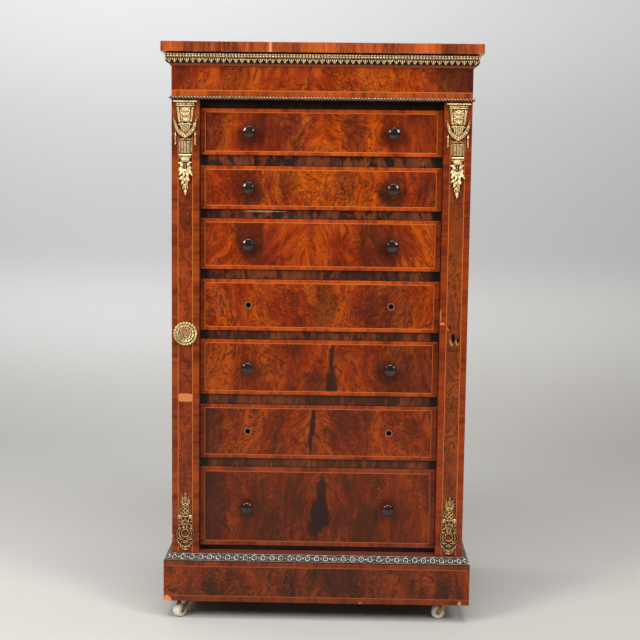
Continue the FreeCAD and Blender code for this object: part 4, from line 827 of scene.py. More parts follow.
oak_back = oak_board("oak_grain_backwards", "back")
oak_across = oak_board("oak_grain_across", "across")
oak_up = oak_board("oak_grain_upright", "up", colour(150, 108, 66), colour(96, 62, 36))
for number in DRAWERS:
    dress(f"drawer_{number}_box", oak_back)
for node, material in (("drawer_runners", oak_back), ("bottom_board", oak_across),
                       ("drawer_stops", oak_across), ("back_panel", oak_up), ("front_posts", oak_up),
                       ("corner_blocks", oak_up)):
    dress(node, material)
print("oak boards dressed")

# %% [markdown]
# ## Mouldings
# The moulding under the top and the one over the plinth are solid wood, stained dark so that the
# gilt stands out from them. Their grain runs along the length and round the corner.

# %% Mouldings
def stained_moulding(name, light, dark, start, end, bare):
    """Straight-grained wood under a dark stain that is worn along the edges.

    The stain thins out from height start to height end and leaves the bare colour beyond.
    """
    material, tree, shader, place = new_material(name)
    across, upward, inward = split(tree, place)
    along = calc(tree, "MULTIPLY", calc(tree, "ADD", across, inward), 0.06)
    streaks = noise(tree, join(tree, along, upward, calc(tree, "MULTIPLY", inward, 0.3)), 260.0, 3.0, 0.6)
    wood = blend_colours(tree, soft_step(tree, streaks, 0.35, 0.68), dark, light)
    wood = blend_colours(tree, soft_step(tree, upward, start, end), wood, bare)
    wood = wear_edges(tree, place, wood, 1.0, 0.5, 0.5, colour(150, 80, 44))
    tree.links.new(wood, shader.inputs["Base Color"])
    french_polish(tree, shader, place, 0.28, 0.5)
    add_bump(tree, shader, streaks, 0.1, 0.0003)
    return material


cornice_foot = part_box("cornice_moulding")[0].z
plinth_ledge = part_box("plinth_moulding")[1].z
stained_cornice = stained_moulding("stained_cornice", colour(64, 28, 14), colour(34, 18, 12),
                                   cornice_foot + 6.5 * MM, cornice_foot + 3.5 * MM, colour(134, 58, 24))
stained_plinth = stained_moulding("stained_plinth_moulding", colour(56, 30, 24), colour(25, 18, 17),
                                  plinth_ledge - 1.5 * MM, plinth_ledge - 0.5 * MM, colour(104, 52, 38))
dress("cornice_moulding", stained_cornice)
dress("plinth_moulding", stained_plinth)
print("mouldings dressed")

# %% [markdown]
# ## Gilt bronze, brass, steel and china
# Old fire-gilding keeps its gold where cloths rub it and goes brown where they can't reach, so
# one group mixes polished gold, dull gold and brown by height and hollows. The brown in the
# hollows is grime together with painted shade. The cast meshes bring their own record of hollows,
# because they know how deep each spot lies. Plain brass and iron use the group too, with their
# own colours. China is a white body under a clear glaze.

# %% Cast metal group
casting, given, made = new_group(
    "cast_metal",
    [("Place", "vector"), ("Reach", "value"), ("Hollow", "value"), ("Bright", "colour"), ("Dull", "colour"),
     ("Grime", "colour")],
    [("Colour", "colour"), ("Roughness", "value"), ("Metallic", "value"), ("Height", "value")],
)
mottle = noise(casting, given["Place"], 120.0, 4.0, 0.6)
pits = noise(casting, given["Place"], 1500.0, 2.0)
# Occlusion and the mesh's hollows darken the metal towards the grime colour: grime together with painted
# shade.
settled_and_shaded = place_group(casting, dirt_and_shade, place=given["Place"], reach=given["Reach"])["Mask"]
settled_and_shaded = calc(casting, "MAXIMUM", settled_and_shaded, soft_step(casting, given["Hollow"], 0.14, 0.42))
rubbed = calc(casting, "MULTIPLY", soft_step(casting, mottle, 0.3, 0.56),
              soft_step(casting, given["Hollow"], 0.4, 0.05))
metal = blend_colours(casting, rubbed, given["Dull"], given["Bright"])
metal = blend_colours(casting, calc(casting, "MULTIPLY", settled_and_shaded, 0.94), metal, given["Grime"])
casting.links.new(metal, made["Colour"])
rough = calc(casting, "MULTIPLY_ADD", mottle, -0.25, 0.5)
casting.links.new(calc(casting, "MULTIPLY_ADD", settled_and_shaded, 0.3, rough), made["Roughness"])
casting.links.new(calc(casting, "MULTIPLY_ADD", settled_and_shaded, -0.8, 0.95), made["Metallic"])
casting.links.new(calc(casting, "MULTIPLY_ADD", mottle, 0.5, pits), made["Height"])


def metal_finish(name, bright, dull, grime, reach, bump=0.25, tarnished=None):
    """Cast or rolled metal in three paint-chart colours, with grime and painted shade in its hollows.

    reach is how near the walls of a hollow stand, in millimetres, for grime and painted shade to darken it.
    tarnished is the radius of a duller, more silvery middle.
    """
    material, tree, shader, place = bare_material(name)
    hollow = tree.nodes.new("ShaderNodeAttribute")
    hollow.attribute_name = "hollow"
    cast = place_group(tree, casting, place=place, reach=reach * MM, hollow=hollow.outputs["Fac"],
                       bright=colour(*bright), dull=colour(*dull), grime=colour(*grime))
    metal = cast["Colour"]
    if tarnished:
        from_middle = vector_calc(tree, "LENGTH", place)
        share = soft_step(tree, from_middle, tarnished * MM, 0.7 * tarnished * MM)
        metal = blend_colours(tree, share, metal, colour(206, 186, 192), "MULTIPLY")
    tree.links.new(metal, shader.inputs["Base Color"])
    tree.links.new(cast["Roughness"], shader.inputs["Roughness"])
    tree.links.new(cast["Metallic"], shader.inputs["Metallic"])
    add_bump(tree, shader, cast["Height"], bump, 0.0001)
    return material


gilt = metal_finish("gilt_bronze", (252, 226, 172), (180, 136, 78), (40, 23, 13), 2.0, 0.12)
rosette_gilt = metal_finish("gilt_rosette", (250, 226, 164), (200, 160, 96), (44, 25, 14), 2.0, 0.12, 16.0)
border_gilt = metal_finish("gilt_border", (255, 236, 186), (220, 178, 118), (84, 60, 26), 1.2, 0.1)
dark_gilt = metal_finish("rubbed_gilt_bronze", (246, 220, 184), (160, 124, 94), (14, 9, 8), 2.0, 0.1)
bronze_gilt = metal_finish("browned_gilt_bronze", (210, 168, 112), (134, 92, 54), (36, 21, 13), 2.0, 0.12)
pale_brass = metal_finish("silvered_brass", (180, 172, 160), (112, 102, 94), (22, 18, 17), 2.0, 0.1)
# Brass darkened by tarnish, and darker still as painted shade, so that the caster horns merge with the shadow
# under the plinth.
aged_brass = metal_finish("aged_brass", (160, 132, 84), (92, 70, 42), (34, 24, 16), 5.0)
iron = metal_finish("lock_iron", (120, 116, 112), (66, 60, 56), (26, 22, 20), 4.0)
for node in ("pivot_plates", "pivot_sockets", "staple_plate", "caster_plates", "carcase_screws",
             "stile_screws"):
    dress(node, aged_brass)
for node in ("lock_case", "lock_bolt"):
    dress(node, iron)
CORNERS = ("front_left", "front_right", "back_left", "back_right")
for corner in CORNERS:
    dress(f"caster_horn_{corner}", aged_brass)
print("metals ready")

# %% China and ebonised wood
def glazed_china():
    """White china: a warm body, faint crackle, a clear glaze, scuffs, and dirt together with painted shade in
    the corners.
    """
    material, tree, shader, place = bare_material("white_china")
    crackle = tree.nodes.new("ShaderNodeTexVoronoi")
    crackle.feature = "DISTANCE_TO_EDGE"
    crackle.inputs["Scale"].default_value = 220.0
    tree.links.new(place, crackle.inputs["Vector"])
    crack_lines = soft_step(tree, crackle.outputs["Distance"], 0.05, 0.0)
    scuffs = soft_step(tree, noise(tree, place, 120.0, 4.0, 0.7), 0.5, 0.7)
    # Darker in the corners: dirt together with painted shade.
    settled_and_shaded = place_group(tree, dirt_and_shade, place=place, reach=4.0 * MM)["Mask"]
    china = colour(236, 230, 216)
    for share, strength, stain in ((crack_lines, 0.35, colour(150, 130, 104)),
                                   (scuffs, 0.3, colour(176, 160, 136)), (settled_and_shaded, 0.7, colour(96, 80, 62))):
        china = blend_colours(tree, calc(tree, "MULTIPLY", share, strength), china, stain)
    tree.links.new(china, shader.inputs["Base Color"])
    tree.links.new(calc(tree, "MULTIPLY_ADD", scuffs, 0.4, 0.14), shader.inputs["Roughness"])
    shader.inputs["Coat Weight"].default_value = 0.6
    shader.inputs["Coat Roughness"].default_value = 0.08
    return material


def ebonised_wood():
    """Black-stained pear wood, browned where fingers rub it."""
    material, tree, shader, place = bare_material("ebonised_wood")
    rubbed = soft_step(tree, noise(tree, place, 70.0, 3.0, 0.6), 0.46, 0.68)
    streaks = noise(tree, vector_calc(tree, "MULTIPLY", place, (1.0, 0.1, 1.0)), 600.0, 2.0)
    wood = blend_colours(tree, calc(tree, "MULTIPLY", rubbed, 0.7), colour(34, 20, 18), colour(62, 34, 26))
    streak_share = calc(tree, "MULTIPLY", soft_step(tree, streaks, 0.5, 0.7), 0.3)
    wood = blend_colours(tree, streak_share, wood, colour(16, 10, 10))
    tree.links.new(wood, shader.inputs["Base Color"])
    tree.links.new(calc(tree, "MULTIPLY_ADD", rubbed, 0.1, 0.12), shader.inputs["Roughness"])
    shader.inputs["Specular IOR Level"].default_value = 0.3
    shader.inputs["Coat Weight"].default_value = 0.6
    shader.inputs["Coat Roughness"].default_value = 0.03
    add_bump(tree, shader, streaks, 0.1, 0.0002)
    return material


china = glazed_china()
ebony = ebonised_wood()
for corner in CORNERS:
    dress(f"caster_wheel_{corner}", china)
for number in DRAWERS_WITH_KNOBS:
    dress(f"drawer_{number}_knobs", ebony)
print("china and ebonised wood ready")

# %% [markdown]
# ## How a mount is cast
# The mounts were cast in sand moulds that came apart, so nothing on them is undercut: every spot
# of a mount has just one height. That makes a field of heights the natural way to draw one. Bars,
# domes, plates and leaves each give a height over the whole field, and the highest one wins, as
# clay pressed on clay. The field then becomes a closed mesh with steep sides and a flat back, and
# each of its points remembers how far it lies below its highest neighbour, for the grime and painted shade.
# Sizes here are in millimetres, with x across and y upwards.

# %% Height fields
def field_of(half_width, low, high, step=0.5):
    """Coordinates of a regular field, even about its middle line."""
    columns = int(round(half_width / step))
    across = np.arange(-columns, columns + 1) * step
    return np.meshgrid(across, np.arange(low, high + step / 2, step))


def bar(field, path, radii, height, lift=0.0, twist=0.0, pitch=3.0):
    """A round bar along a path. twist cuts slanting grooves into it."""
    result = np.zeros_like(field[0])
    travelled = 0.0
    for (ax, ay), (bx, by), ra, rb in zip(path, path[1:], radii, radii[1:]):
        dx, dy = bx - ax, by - ay
        length = math.hypot(dx, dy) or 1e-6
        along = np.clip(((field[0] - ax) * dx + (field[1] - ay) * dy) / length ** 2, 0, 1)
        off_x = field[0] - ax - along * dx
        off_y = field[1] - ay - along * dy
        share = np.hypot(off_x, off_y) / (ra + (rb - ra) * along)
        side = (off_x * dy - off_y * dx) / length
        rise = height * np.sqrt(np.clip(1 - share ** 2, 0, 1))
        groove = 1 - twist * np.abs(np.sin(math.pi * (travelled + along * length + side) / pitch)) ** 4
        result = np.maximum(result, np.where(share < 1, lift + rise * groove, 0))
        travelled += length
    return result


def even_bar(field, path, radius, height, lift=0.0):
    """A bar of one thickness."""
    return bar(field, path, [radius] * len(path), height, lift)


def dome(field, x, y, half_width, half_height, height, lift=0.0):
    """A round or oval boss."""
    share = ((field[0] - x) / half_width) ** 2 + ((field[1] - y) / half_height) ** 2
    return np.where(share < 1, lift + height * np.sqrt(np.clip(1 - share, 0, 1)), 0)


def plate(field, low, high, half_low, half_high, height, bevel=0.8):
    """A flat plate with slanting sides and bevelled edges, even about the middle line."""
    rise = np.clip((field[1] - low) / (high - low), 0, 1)
    edge = half_low + (half_high - half_low) * rise - np.abs(field[0])
    inside = np.minimum(edge, np.minimum(field[1] - low, high - field[1]))
    return np.where(inside > 0, height * np.clip(0.45 + inside / bevel, 0, 1), 0)


def leaf(field, root, tip, half_width, height, lift=0.0, veins=2.4, belly=0.75):
    """A pointed leaf with a sunk midrib and slanting veins."""
    dx, dy = tip[0] - root[0], tip[1] - root[1]
    length = math.hypot(dx, dy)
    along = ((field[0] - root[0]) * dx + (field[1] - root[1]) * dy) / length ** 2
    side = ((field[0] - root[0]) * dy - (field[1] - root[1]) * dx) / length
    inside = (along > 0) & (along < 1)
    width = half_width * np.sin(math.pi * np.clip(along, 1e-3, 1) ** belly) ** 0.75 + 1e-6
    share = np.abs(side) / width
    swell = np.sqrt(np.clip(1 - share ** 2, 0, 1))
    midrib = 0.3 * np.exp(-(side / (0.16 * half_width)) ** 2)
    chevron = 0.14 * np.sin(2 * math.pi * (along * length - np.abs(side) * 0.9) / veins) * share
    curl = 0.75 + 0.35 * along
    carving = np.clip(swell * (1 - midrib) + chevron, 0.12, 1.2)
    return np.where(inside & (share < 1), lift + height * curl * carving, 0)


def scroll(x, y, outer, inner, start, turns, points=28):
    """A path that winds in towards its middle."""
    path = []
    for step in range(points + 1):
        share = step / points
        angle = math.radians(start) + 2 * math.pi * turns * share
        radius = outer + (inner - outer) * share
        path.append((x + radius * math.cos(angle), y + radius * math.sin(angle)))
    return path


def both(heights):
    """A field and its mirror image."""
    return np.maximum(heights, heights[:, ::-1])


def highest(*heights):
    """The highest of several fields at each spot, softened a little as old gilding is."""
    top = np.maximum.reduce(heights)
    padded = np.pad(top, 1, mode="edge")
    near = (padded[:-2, 1:-1] + padded[2:, 1:-1] + padded[1:-1, :-2] + padded[1:-1, 2:]) / 4
    return np.where(top > 0, top * 0.6 + near * 0.4, 0)


print("height field tools ready")


# %% From a field to a closed mesh
def hollows(heights, reach=3):
    """How far each spot lies below its highest neighbour, from 0 on a ridge to 1 in a groove."""
    rows, columns = heights.shape
    padded = np.pad(heights, reach)
    shifts = range(2 * reach + 1)
    highest_near = np.maximum.reduce([padded[r:r + rows, c:c + columns] for r in shifts for c in shifts])
    return 1 - heights / np.maximum(highest_near, 0.01)


def finished_mesh(name, built, finish):
    """Turns a built form into a smooth-shaded mesh with its finish."""
    bmesh.ops.recalc_face_normals(built, faces=built.faces)
    for face in built.faces:
        face.smooth = True
    mesh = bpy.data.meshes.new(name)
    built.to_mesh(mesh)
    built.free()
    mesh.materials.append(finish)
    return mesh


def field_mesh(name, pieces, finish, thinnest=0.35):
    """Closed mesh from fields. pieces lists (field, heights, where).

    where maps x, y and height to metres. What is lower than thinnest is cut away.
    """
    built = bmesh.new()
    hollow = built.verts.layers.float.new("hollow")
    for field, heights, where in pieces:
        solid = heights > thinnest
        cells = solid[:-1, :-1] & solid[1:, :-1] & solid[:-1, 1:] & solid[1:, 1:]
        sunk = hollows(heights)
        corners = {}

        def corner(row, column, layer):
            if (row, column, layer) not in corners:
                height = heights[row, column] * layer
                place = where(field[0][row, column], field[1][row, column], height)
                corners[row, column, layer] = built.verts.new(place)
                # Hollow spots, and the walls down to the flat back, are marked for grime and painted shade,
                # so the walls darken where the casting meets the board.
                corners[row, column, layer][hollow] = max(sunk[row, column], 1 - layer)
            return corners[row, column, layer]

        back_faces = []
        rows, columns = cells.shape
        for row, column in zip(*np.nonzero(cells)):
            ring = [(row, column), (row, column + 1), (row + 1, column + 1), (row + 1, column)]
            built.faces.new([corner(*spot, 1) for spot in ring])
            back_faces.append(built.faces.new([corner(*spot, 0) for spot in reversed(ring)]))
            beside = [(row - 1, column), (row, column + 1), (row + 1, column), (row, column - 1)]
            for number, (r, c) in enumerate(beside):
                if not (0 <= r < rows and 0 <= c < columns and cells[r, c]):
                    first, second = ring[number], ring[(number + 1) % 4]
                    wall = [(second, 1), (first, 1), (first, 0), (second, 0)]
                    built.faces.new([corner(*spot, layer) for spot, layer in wall])
        back_verts = [vert for (r, c, layer), vert in corners.items() if layer == 0]
        back_edges = list({edge for face in back_faces for edge in face.edges})
        bmesh.ops.dissolve_limit(built, angle_limit=math.radians(2), verts=back_verts, edges=back_edges)
    return finished_mesh(name, built, finish)


BODY_OF = {node: body for body, nodes in frame["record"]["behaviour"]["bodies"].items() for node in nodes}


def add_piece(name, mesh, node):
    """Puts a mesh into the scene to stand for a CAD node and ride on its body."""
    piece = bpy.data.objects.new(name, mesh)
    bpy.context.scene.collection.objects.link(piece)
    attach(piece, BODY_OF[node])
    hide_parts(node)
    return piece


def hang_mounts(which, mesh):
    """Puts one mount on each stile, level with the top of the plain solid that it stands for."""
    for stile, side_x in SIDES.items():
        node = f"{stile}_{which}_mount"
        piece = add_piece(f"{node}_casting", mesh, node)
        piece.location = (side_x, FACE_Y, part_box(node)[1].z)


print("nodes and their bodies:", len(BODY_OF))

# %% [markdown]
# ## Top mounts
# Each stile is crowned by a gilt mount: a cap, a tapering tablet with six scrolled leaves, a
# ribbed shell under a swag of rolled cloth with two hanging ends, a fluted shaft, a small
# upturned capital, and a drop of leaves and flowers. Heights are counted down from its top edge.

# %% Top mount
def top_mount_heights(field):
    """Heights of the mount over its field."""
    across, up = field
    cap = even_bar(field, [(-23.2, -2.4), (23.2, -2.4)], 2.3, 6.5, 1.5)
    cove = plate(field, -9.0, -4.0, 18.5, 20.5, 4.6)
    cove = cove * (1 - 0.3 * np.abs(np.sin(math.pi * across / 5.2)) ** 6)
    second = even_bar(field, [(-18.0, -10.6), (18.0, -10.6)], 1.7, 5.0, 2.0)
    tablet = plate(field, -45.5, -12.0, 13.2, 18.2, 2.4)
    sides = both(highest(even_bar(field, [(17.0, -13.0), (12.4, -44.5)], 0.9, 1.6, 2.4),
                         even_bar(field, [(14.4, -13.0), (10.6, -44.5)], 0.7, 1.2, 2.4)))
    inner = plate(field, -43.5, -13.0, 9.2, 11.6, 4.0)
    carved = [even_bar(field, [(0.0, -13.5), (0.0, -43.0)], 0.7, 1.4, 3.6)]
    for row, drop in enumerate((-17.5, -27.5, -37.5)):
        reach = 10.2 - 0.8 * row
        carved.append(leaf(field, (1.2, drop - 4.4), (reach, drop + 3.6), 2.8, 2.6, 3.6, veins=1.9))
        carved.append(even_bar(field, scroll(4.6, drop - 2.0, 3.1, 0.8, 200, 1.3), 0.8, 1.6, 4.0))
        carved.append(leaf(field, (reach - 0.6, drop - 4.8), (2.2, drop + 2.4), 1.9, 1.8, 3.6, veins=1.7))
    panel = both(highest(*carved))

    shell = np.where((up < -46.5) & (up > -72.0) & (np.abs(across) < 14.0 - 0.42 * (-46.5 - up)), 1.0, 0.0)
    ribs = 0.62 + 0.38 * np.abs(np.cos(math.pi * across / (4.6 - 0.06 * (-46.5 - up))))
    shell = shell * (3.4 + 3.2 * np.sqrt(np.clip((up + 72.0) / 25.5, 0, 1))) * ribs
    lip = both(even_bar(field, [(0.0, -47.5), (5.0, -46.2), (10.0, -46.8), (13.2, -49.5)], 1.1, 2.0, 4.6))
    swag_path = [(22.2, -39.0), (20.8, -48.0), (17.0, -58.0), (10.5, -66.0), (0.0, -73.2)]
    swag = both(bar(field, swag_path, [2.3, 3.1, 3.9, 4.3, 4.4], 6.4, 1.0, twist=0.28, pitch=4.6))
    fold = both(bar(field, [(20.6, -41.0), (16.2, -53.0), (9.0, -63.0), (0.0, -69.6)],
                    [0.7, 1.0, 1.1, 1.1], 2.6, 6.0))
    boss = both(highest(dome(field, 22.0, -38.0, 3.0, 2.6, 4.2),
                        leaf(field, (21.0, -39.5), (24.6, -33.0), 1.8, 3.0)))
    hanging = both(bar(field, [(21.2, -41.0), (20.6, -52.0), (19.8, -64.0), (20.4, -76.0), (20.2, -89.0)],
                       [1.5, 1.9, 1.7, 2.5, 2.0], 3.0, 0.6, twist=0.45, pitch=5.2))
    knot = both(dome(field, 20.4, -68.5, 2.9, 2.4, 3.8))

    beads = highest(*[dome(field, x, -78.6, 1.5, 1.5, 2.2, 4.4) for x in (-7.2, -3.6, 0.0, 3.6, 7.2)])
    collar = plate(field, -81.0, -76.0, 11.4, 9.6, 4.4)
    shaft_frame = plate(field, -107.5, -76.0, 13.3, 13.0, 2.4)
    shaft = plate(field, -106.5, -81.5, 9.3, 9.5, 5.6)
    flutes = 1 - 0.42 * np.clip(np.cos(2 * math.pi * across / 5.4 + math.pi), 0, 1) ** 1.5
    shaft = shaft * np.where(np.abs(across) < 8.2, flutes, 1.0)
    base = even_bar(field, [(-11.6, -110.2), (11.6, -110.2)], 2.5, 4.4, 2.6)
    capital = plate(field, -124.0, -113.0, 8.0, 11.6, 4.6)
    abacus = even_bar(field, [(-11.2, -114.6), (11.2, -114.6)], 1.5, 2.6, 4.0)
    capital_leaves = both(highest(*[leaf(field, (x * 0.6, -124.5), (x, -114.0), 2.0, 2.4, 4.0)
                                    for x in (0.0, 4.2, 8.6)]))

    drop = [leaf(field, root, tip, width, height, 1.2) for root, tip, width, height in [
        ((-2.0, -127.0), (-15.6, -126.0), 3.6, 3.8), ((2.0, -127.0), (14.2, -124.6), 3.4, 3.8),
        ((-3.0, -132.0), (-15.0, -142.0), 4.2, 4.2), ((3.0, -131.0), (14.6, -139.0), 4.2, 4.2),
        ((-3.0, -136.0), (-13.0, -152.5), 4.4, 4.4), ((3.0, -136.0), (16.2, -153.5), 4.4, 4.4),
        ((0.0, -138.0), (-4.0, -156.0), 4.4, 4.8), ((2.0, -140.0), (6.6, -156.5), 4.0, 4.6),
        ((-1.0, -152.0), (-13.4, -160.5), 4.0, 3.8), ((2.0, -152.0), (8.2, -164.0), 4.4, 4.2),
        ((-1.0, -155.0), (-7.4, -171.5), 4.0, 4.2), ((1.0, -158.0), (4.6, -173.0), 3.8, 4.2),
        ((0.0, -168.0), (-5.4, -180.5), 3.2, 3.4), ((0.6, -168.0), (5.6, -180.0), 3.2, 3.4),
        ((0.0, -172.0), (0.4, -194.0), 4.2, 4.4)]]
    flowers = []
    for x, y, radius in [(-6.8, -131.5, 4.2), (6.4, -130.0, 3.8), (0.4, -142.0, 4.4), (-1.0, -160.5, 3.6),
                         (0.2, -176.5, 3.0)]:
        lobe, ring = 0.42 * radius, 0.62 * radius
        flowers.append(dome(field, x, y, lobe, lobe, 2.4, 5.2))
        for petal in range(6):
            turn = math.radians(60 * petal + 15)
            petal_x, petal_y = x + ring * math.cos(turn), y + ring * math.sin(turn)
            flowers.append(dome(field, petal_x, petal_y, lobe, lobe, 1.8, 4.2))
    stem = even_bar(field, [(0.0, -120.0), (-1.0, -150.0), (0.0, -180.0)], 1.6, 3.0)
    return highest(cap, cove, second, tablet, sides, inner, panel, shell, lip, swag, fold, boss, hanging,
                   knot, beads, collar, shaft_frame, shaft, base, capital, abacus, capital_leaves, stem,
                   *drop, *flowers)


def on_stile(x, y, height):
    """From the mount's own millimetres to metres on a board that faces forward."""
    return (x * MM, -height * MM, y * MM)


mount_field = field_of(26.5, -195.0, 0.5)
top_mesh = field_mesh("gilt_top_mount", [(mount_field, top_mount_heights(mount_field), on_stile)], gilt)
hang_mounts("top", top_mesh)
print("top mounts:", len(top_mesh.polygons), "faces each")

# %% [markdown]
# ## Bottom mounts
# The foot of each stile carries a pierced scroll mount: a feathered plume, an egg of crossed
# bars, a pair of C-scrolls that end in curls, a round opening in a frame of larger scrolls, and a
# shell over two bent ribbons that come to a point. Heights are counted down from its tip.

# %% Bottom mount
def bottom_mount_heights(field):
    """Heights of the mount over its field."""
    across, up = field
    plume = [leaf(field, (0.0, -25.0), (0.6, 0.0), 4.4, 3.4, 1.0, veins=3.4)]
    for root, tip in [((1.5, -23.0), (8.6, -7.5)), ((2.0, -26.0), (11.4, -14.5)),
                      ((3.0, -29.0), (10.8, -21.0))]:
        plume.append(both(leaf(field, root, tip, 2.4, 2.4, 0.6, veins=2.2)))
    egg_middle, egg_half, widest = -39.5, 14.0, 11.2
    egg = [(widest * math.sin(t) * (1 - 0.22 * math.cos(t)), egg_middle + egg_half * math.cos(t))
           for t in [2 * math.pi * k / 40 for k in range(41)]]
    rim = even_bar(field, egg, 1.25, 2.6, 0.8)
    share = (across / 10.4) ** 2 + ((up - egg_middle) / 13.2) ** 2
    lattice = 0.9 + 1.5 * np.maximum(np.abs(np.sin(math.pi * (across + up) / 8.2)) ** 6,
                                     np.abs(np.sin(math.pi * (across - up) / 8.2)) ** 6)
    egg_fill = np.where(share < 1, lattice, 0)

    arms = [bar(field, scroll(12.6, -54.5, 5.0, 1.3, 200, -1.55), [1.5] * 20 + [1.2] * 9, 3.2, 0.8)]
    arms.append(dome(field, 12.6, -54.5, 1.6, 1.6, 3.8, 0.8))
    arms.append(bar(field, [(7.9, -56.0), (6.3, -61.0), (7.2, -66.5), (10.6, -71.0), (14.6, -74.0)],
                    [1.5, 1.9, 1.8, 1.5, 1.1], 3.4, 0.8))
    arms.append(even_bar(field, scroll(13.8, -71.6, 2.6, 0.8, 270, 1.0), 0.9, 2.4, 0.8))
    arms.append(leaf(field, (8.0, -64.0), (15.6, -63.0), 1.8, 2.2, 0.6))
    inner = [bar(field, [(1.2, -60.0), (4.6, -63.0), (6.4, -68.0), (4.2, -73.6), (1.2, -75.0)],
                 [1.0, 1.3, 1.5, 1.3, 1.0], 2.8, 0.8)]
    inner.append(even_bar(field, scroll(2.9, -70.0, 2.3, 0.7, 30, 1.3), 0.85, 2.2, 0.8))
    bead = dome(field, 0.0, -58.0, 2.2, 2.2, 3.4, 0.6)

    ring_middle, ring_radius = -88.5, 8.2
    ring = even_bar(field, [(ring_radius * math.cos(t), ring_middle + ring_radius * math.sin(t))
                            for t in [2 * math.pi * k / 36 for k in range(37)]], 1.7, 3.4, 0.8)
    crown = both(leaf(field, (0.6, -78.0), (7.6, -76.4), 2.0, 2.6, 1.2))
    frame_path = [(12.4, -77.4), (15.8, -81.0), (17.6, -87.0), (17.4, -93.5), (15.0, -99.5), (9.6, -102.4),
                  (3.4, -100.4)]
    big = [bar(field, frame_path, [1.4, 1.5, 1.3, 1.3, 1.5, 1.7, 1.3], 3.2, 0.8)]
    big.append(even_bar(field, scroll(11.6, -79.6, 3.0, 0.8, 40, 1.3), 1.0, 2.8, 0.8))
    big.append(bar(field, [(11.6, -82.6), (13.4, -88.5), (11.8, -95.0), (7.6, -98.6)],
                   [1.4, 2.2, 2.0, 1.4], 4.0, 0.8))
    big.append(leaf(field, (15.0, -99.0), (18.2, -107.0), 2.2, 2.4, 0.6))

    flower = [dome(field, 0.0, -104.6, 2.4, 2.2, 4.0, 1.0)]
    for turn in range(200, 341, 28):
        angle = math.radians(turn)
        petal_tip = (7.0 * math.cos(angle), -105.0 + 6.4 * math.sin(angle))
        flower.append(leaf(field, (0.0, -104.0), petal_tip, 1.9, 2.6, 1.2))
    ribbons = []
    for reach, high, low, thickness in ((14.6, -108.6, -118.6, 1.7), (9.6, -117.0, -124.6, 1.4)):
        ribbons.append(even_bar(field, [(reach, high), (reach * 0.52, (high + low) / 2 - 1.4), (0.0, low)],
                                thickness, 3.4, 0.8))
        ribbons.append(even_bar(field, scroll(reach - 0.6, high + 1.6, 2.2, 0.6, 250, 1.1), 0.95, 2.6, 0.8))
    foot = leaf(field, (0.0, -116.0), (0.0, -127.0), 3.2, 3.4, 0.8)
    web = np.where((np.abs(across) < 10.0) & (up < -103.0) & (up > -121.0 + 0.7 * np.abs(across)), 0.9, 0)
    neck = np.where((np.abs(across) < 4.5) & (up < -50.0) & (up > -80.0), 0.9, 0)
    heights = highest(rim, egg_fill, bead, ring, crown, foot, web, neck, *plume,
                      *[both(part) for part in arms + inner + big + ribbons], *flower)
    opening = np.hypot(across, up - ring_middle) < 6.0
    return np.where(opening, 0, heights)


foot_field = field_of(20.0, -128.0, 0.5)
foot_relief = [(foot_field, bottom_mount_heights(foot_field), on_stile)]
bottom_mesh = field_mesh("gilt_bottom_mount", foot_relief, bronze_gilt)
hang_mounts("bottom", bottom_mesh)
print("bottom mounts:", len(bottom_mesh.polygons), "faces each")

# %% [markdown]
# ## Rosette
# The rosette is a full flower: an outer ring of frilled petals that turn up at their tips, more
# rings set between them, and a heart of small petals wound inwards. It is built round its middle
# in angle and radius, which is how such a flower grows.

# %% Rosette
# Each ring of petals is (count, turn, inner and outer radius, height at root and tip).
PETAL_RINGS = ((22, 0.0, 14.0, 25.0, 1.6, 3.6), (14, 0.2, 10.0, 18.4, 3.6, 5.8),
               (10, 0.1, 6.2, 13.0, 5.6, 7.6), (7, 0.3, 2.6, 8.4, 7.2, 8.8), (4, 0.2, 0.0, 4.2, 8.4, 10.0))


def rosette_heights(field):
    """Heights of the flower over its field."""
    radius = np.hypot(*field)
    angle = np.arctan2(field[1], field[0])
    petals = []
    for count, turn, inner, outer, low, high in PETAL_RINGS:
        lobe = np.abs(np.cos((angle + turn) * count / 2))
        edge = outer - (outer - inner) * 0.22 * (1 - lobe ** 0.5)
        share = np.clip((radius - inner) / (edge - inner), 0, 1)
        rise = low + (high - low) * share ** 1.4
        parting = 1.5 * np.clip(1 - lobe / 0.3, 0, 1)
        veins = 0.18 * np.abs(np.sin((angle + turn) * count * 1.5))
        petals.append(np.where(radius < edge, np.maximum(rise - parting - veins, low * 0.55), 0))
    return highest(*petals)


flower_field = field_of(26.0, -26.0, 26.0, 0.4)
flower_relief = [(flower_field, rosette_heights(flower_field), on_stile)]
rosette_mesh = field_mesh("gilt_rosette", flower_relief, rosette_gilt)
piece = add_piece("rosette_casting", rosette_mesh, "rosette")
rosette_low, rosette_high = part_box("rosette")
piece.location = (-STILE_MIDDLE, FACE_Y, (rosette_low.z + rosette_high.z) / 2)
print("rosette:", len(rosette_mesh.polygons), "faces")

# %% [markdown]
# ## Borders and rope
# Long brass borders were pressed in strips, bent to the moulding under them and mitred at the
# corners. The same height field draws a strip laid flat. Its place on the chest is then worked
# out spot by spot, so the strip follows the moulding's slope. Near a corner it is squeezed up to
# the mitre, and three strips make one border: the front and two returns.

# %% Bent strips
HALF_WIDTH = -stile_low.x
BACK_Y = plinth_high.y
CORNER_ZONE = 9.0


def strip_field(start, end, height, step):
    """A field for a strip that runs from start to end, in millimetres."""
    count = max(2, int(round((end - start) / step)))
    return np.meshgrid(np.linspace(start, end, count + 1), np.arange(0.0, height + step / 2, step))


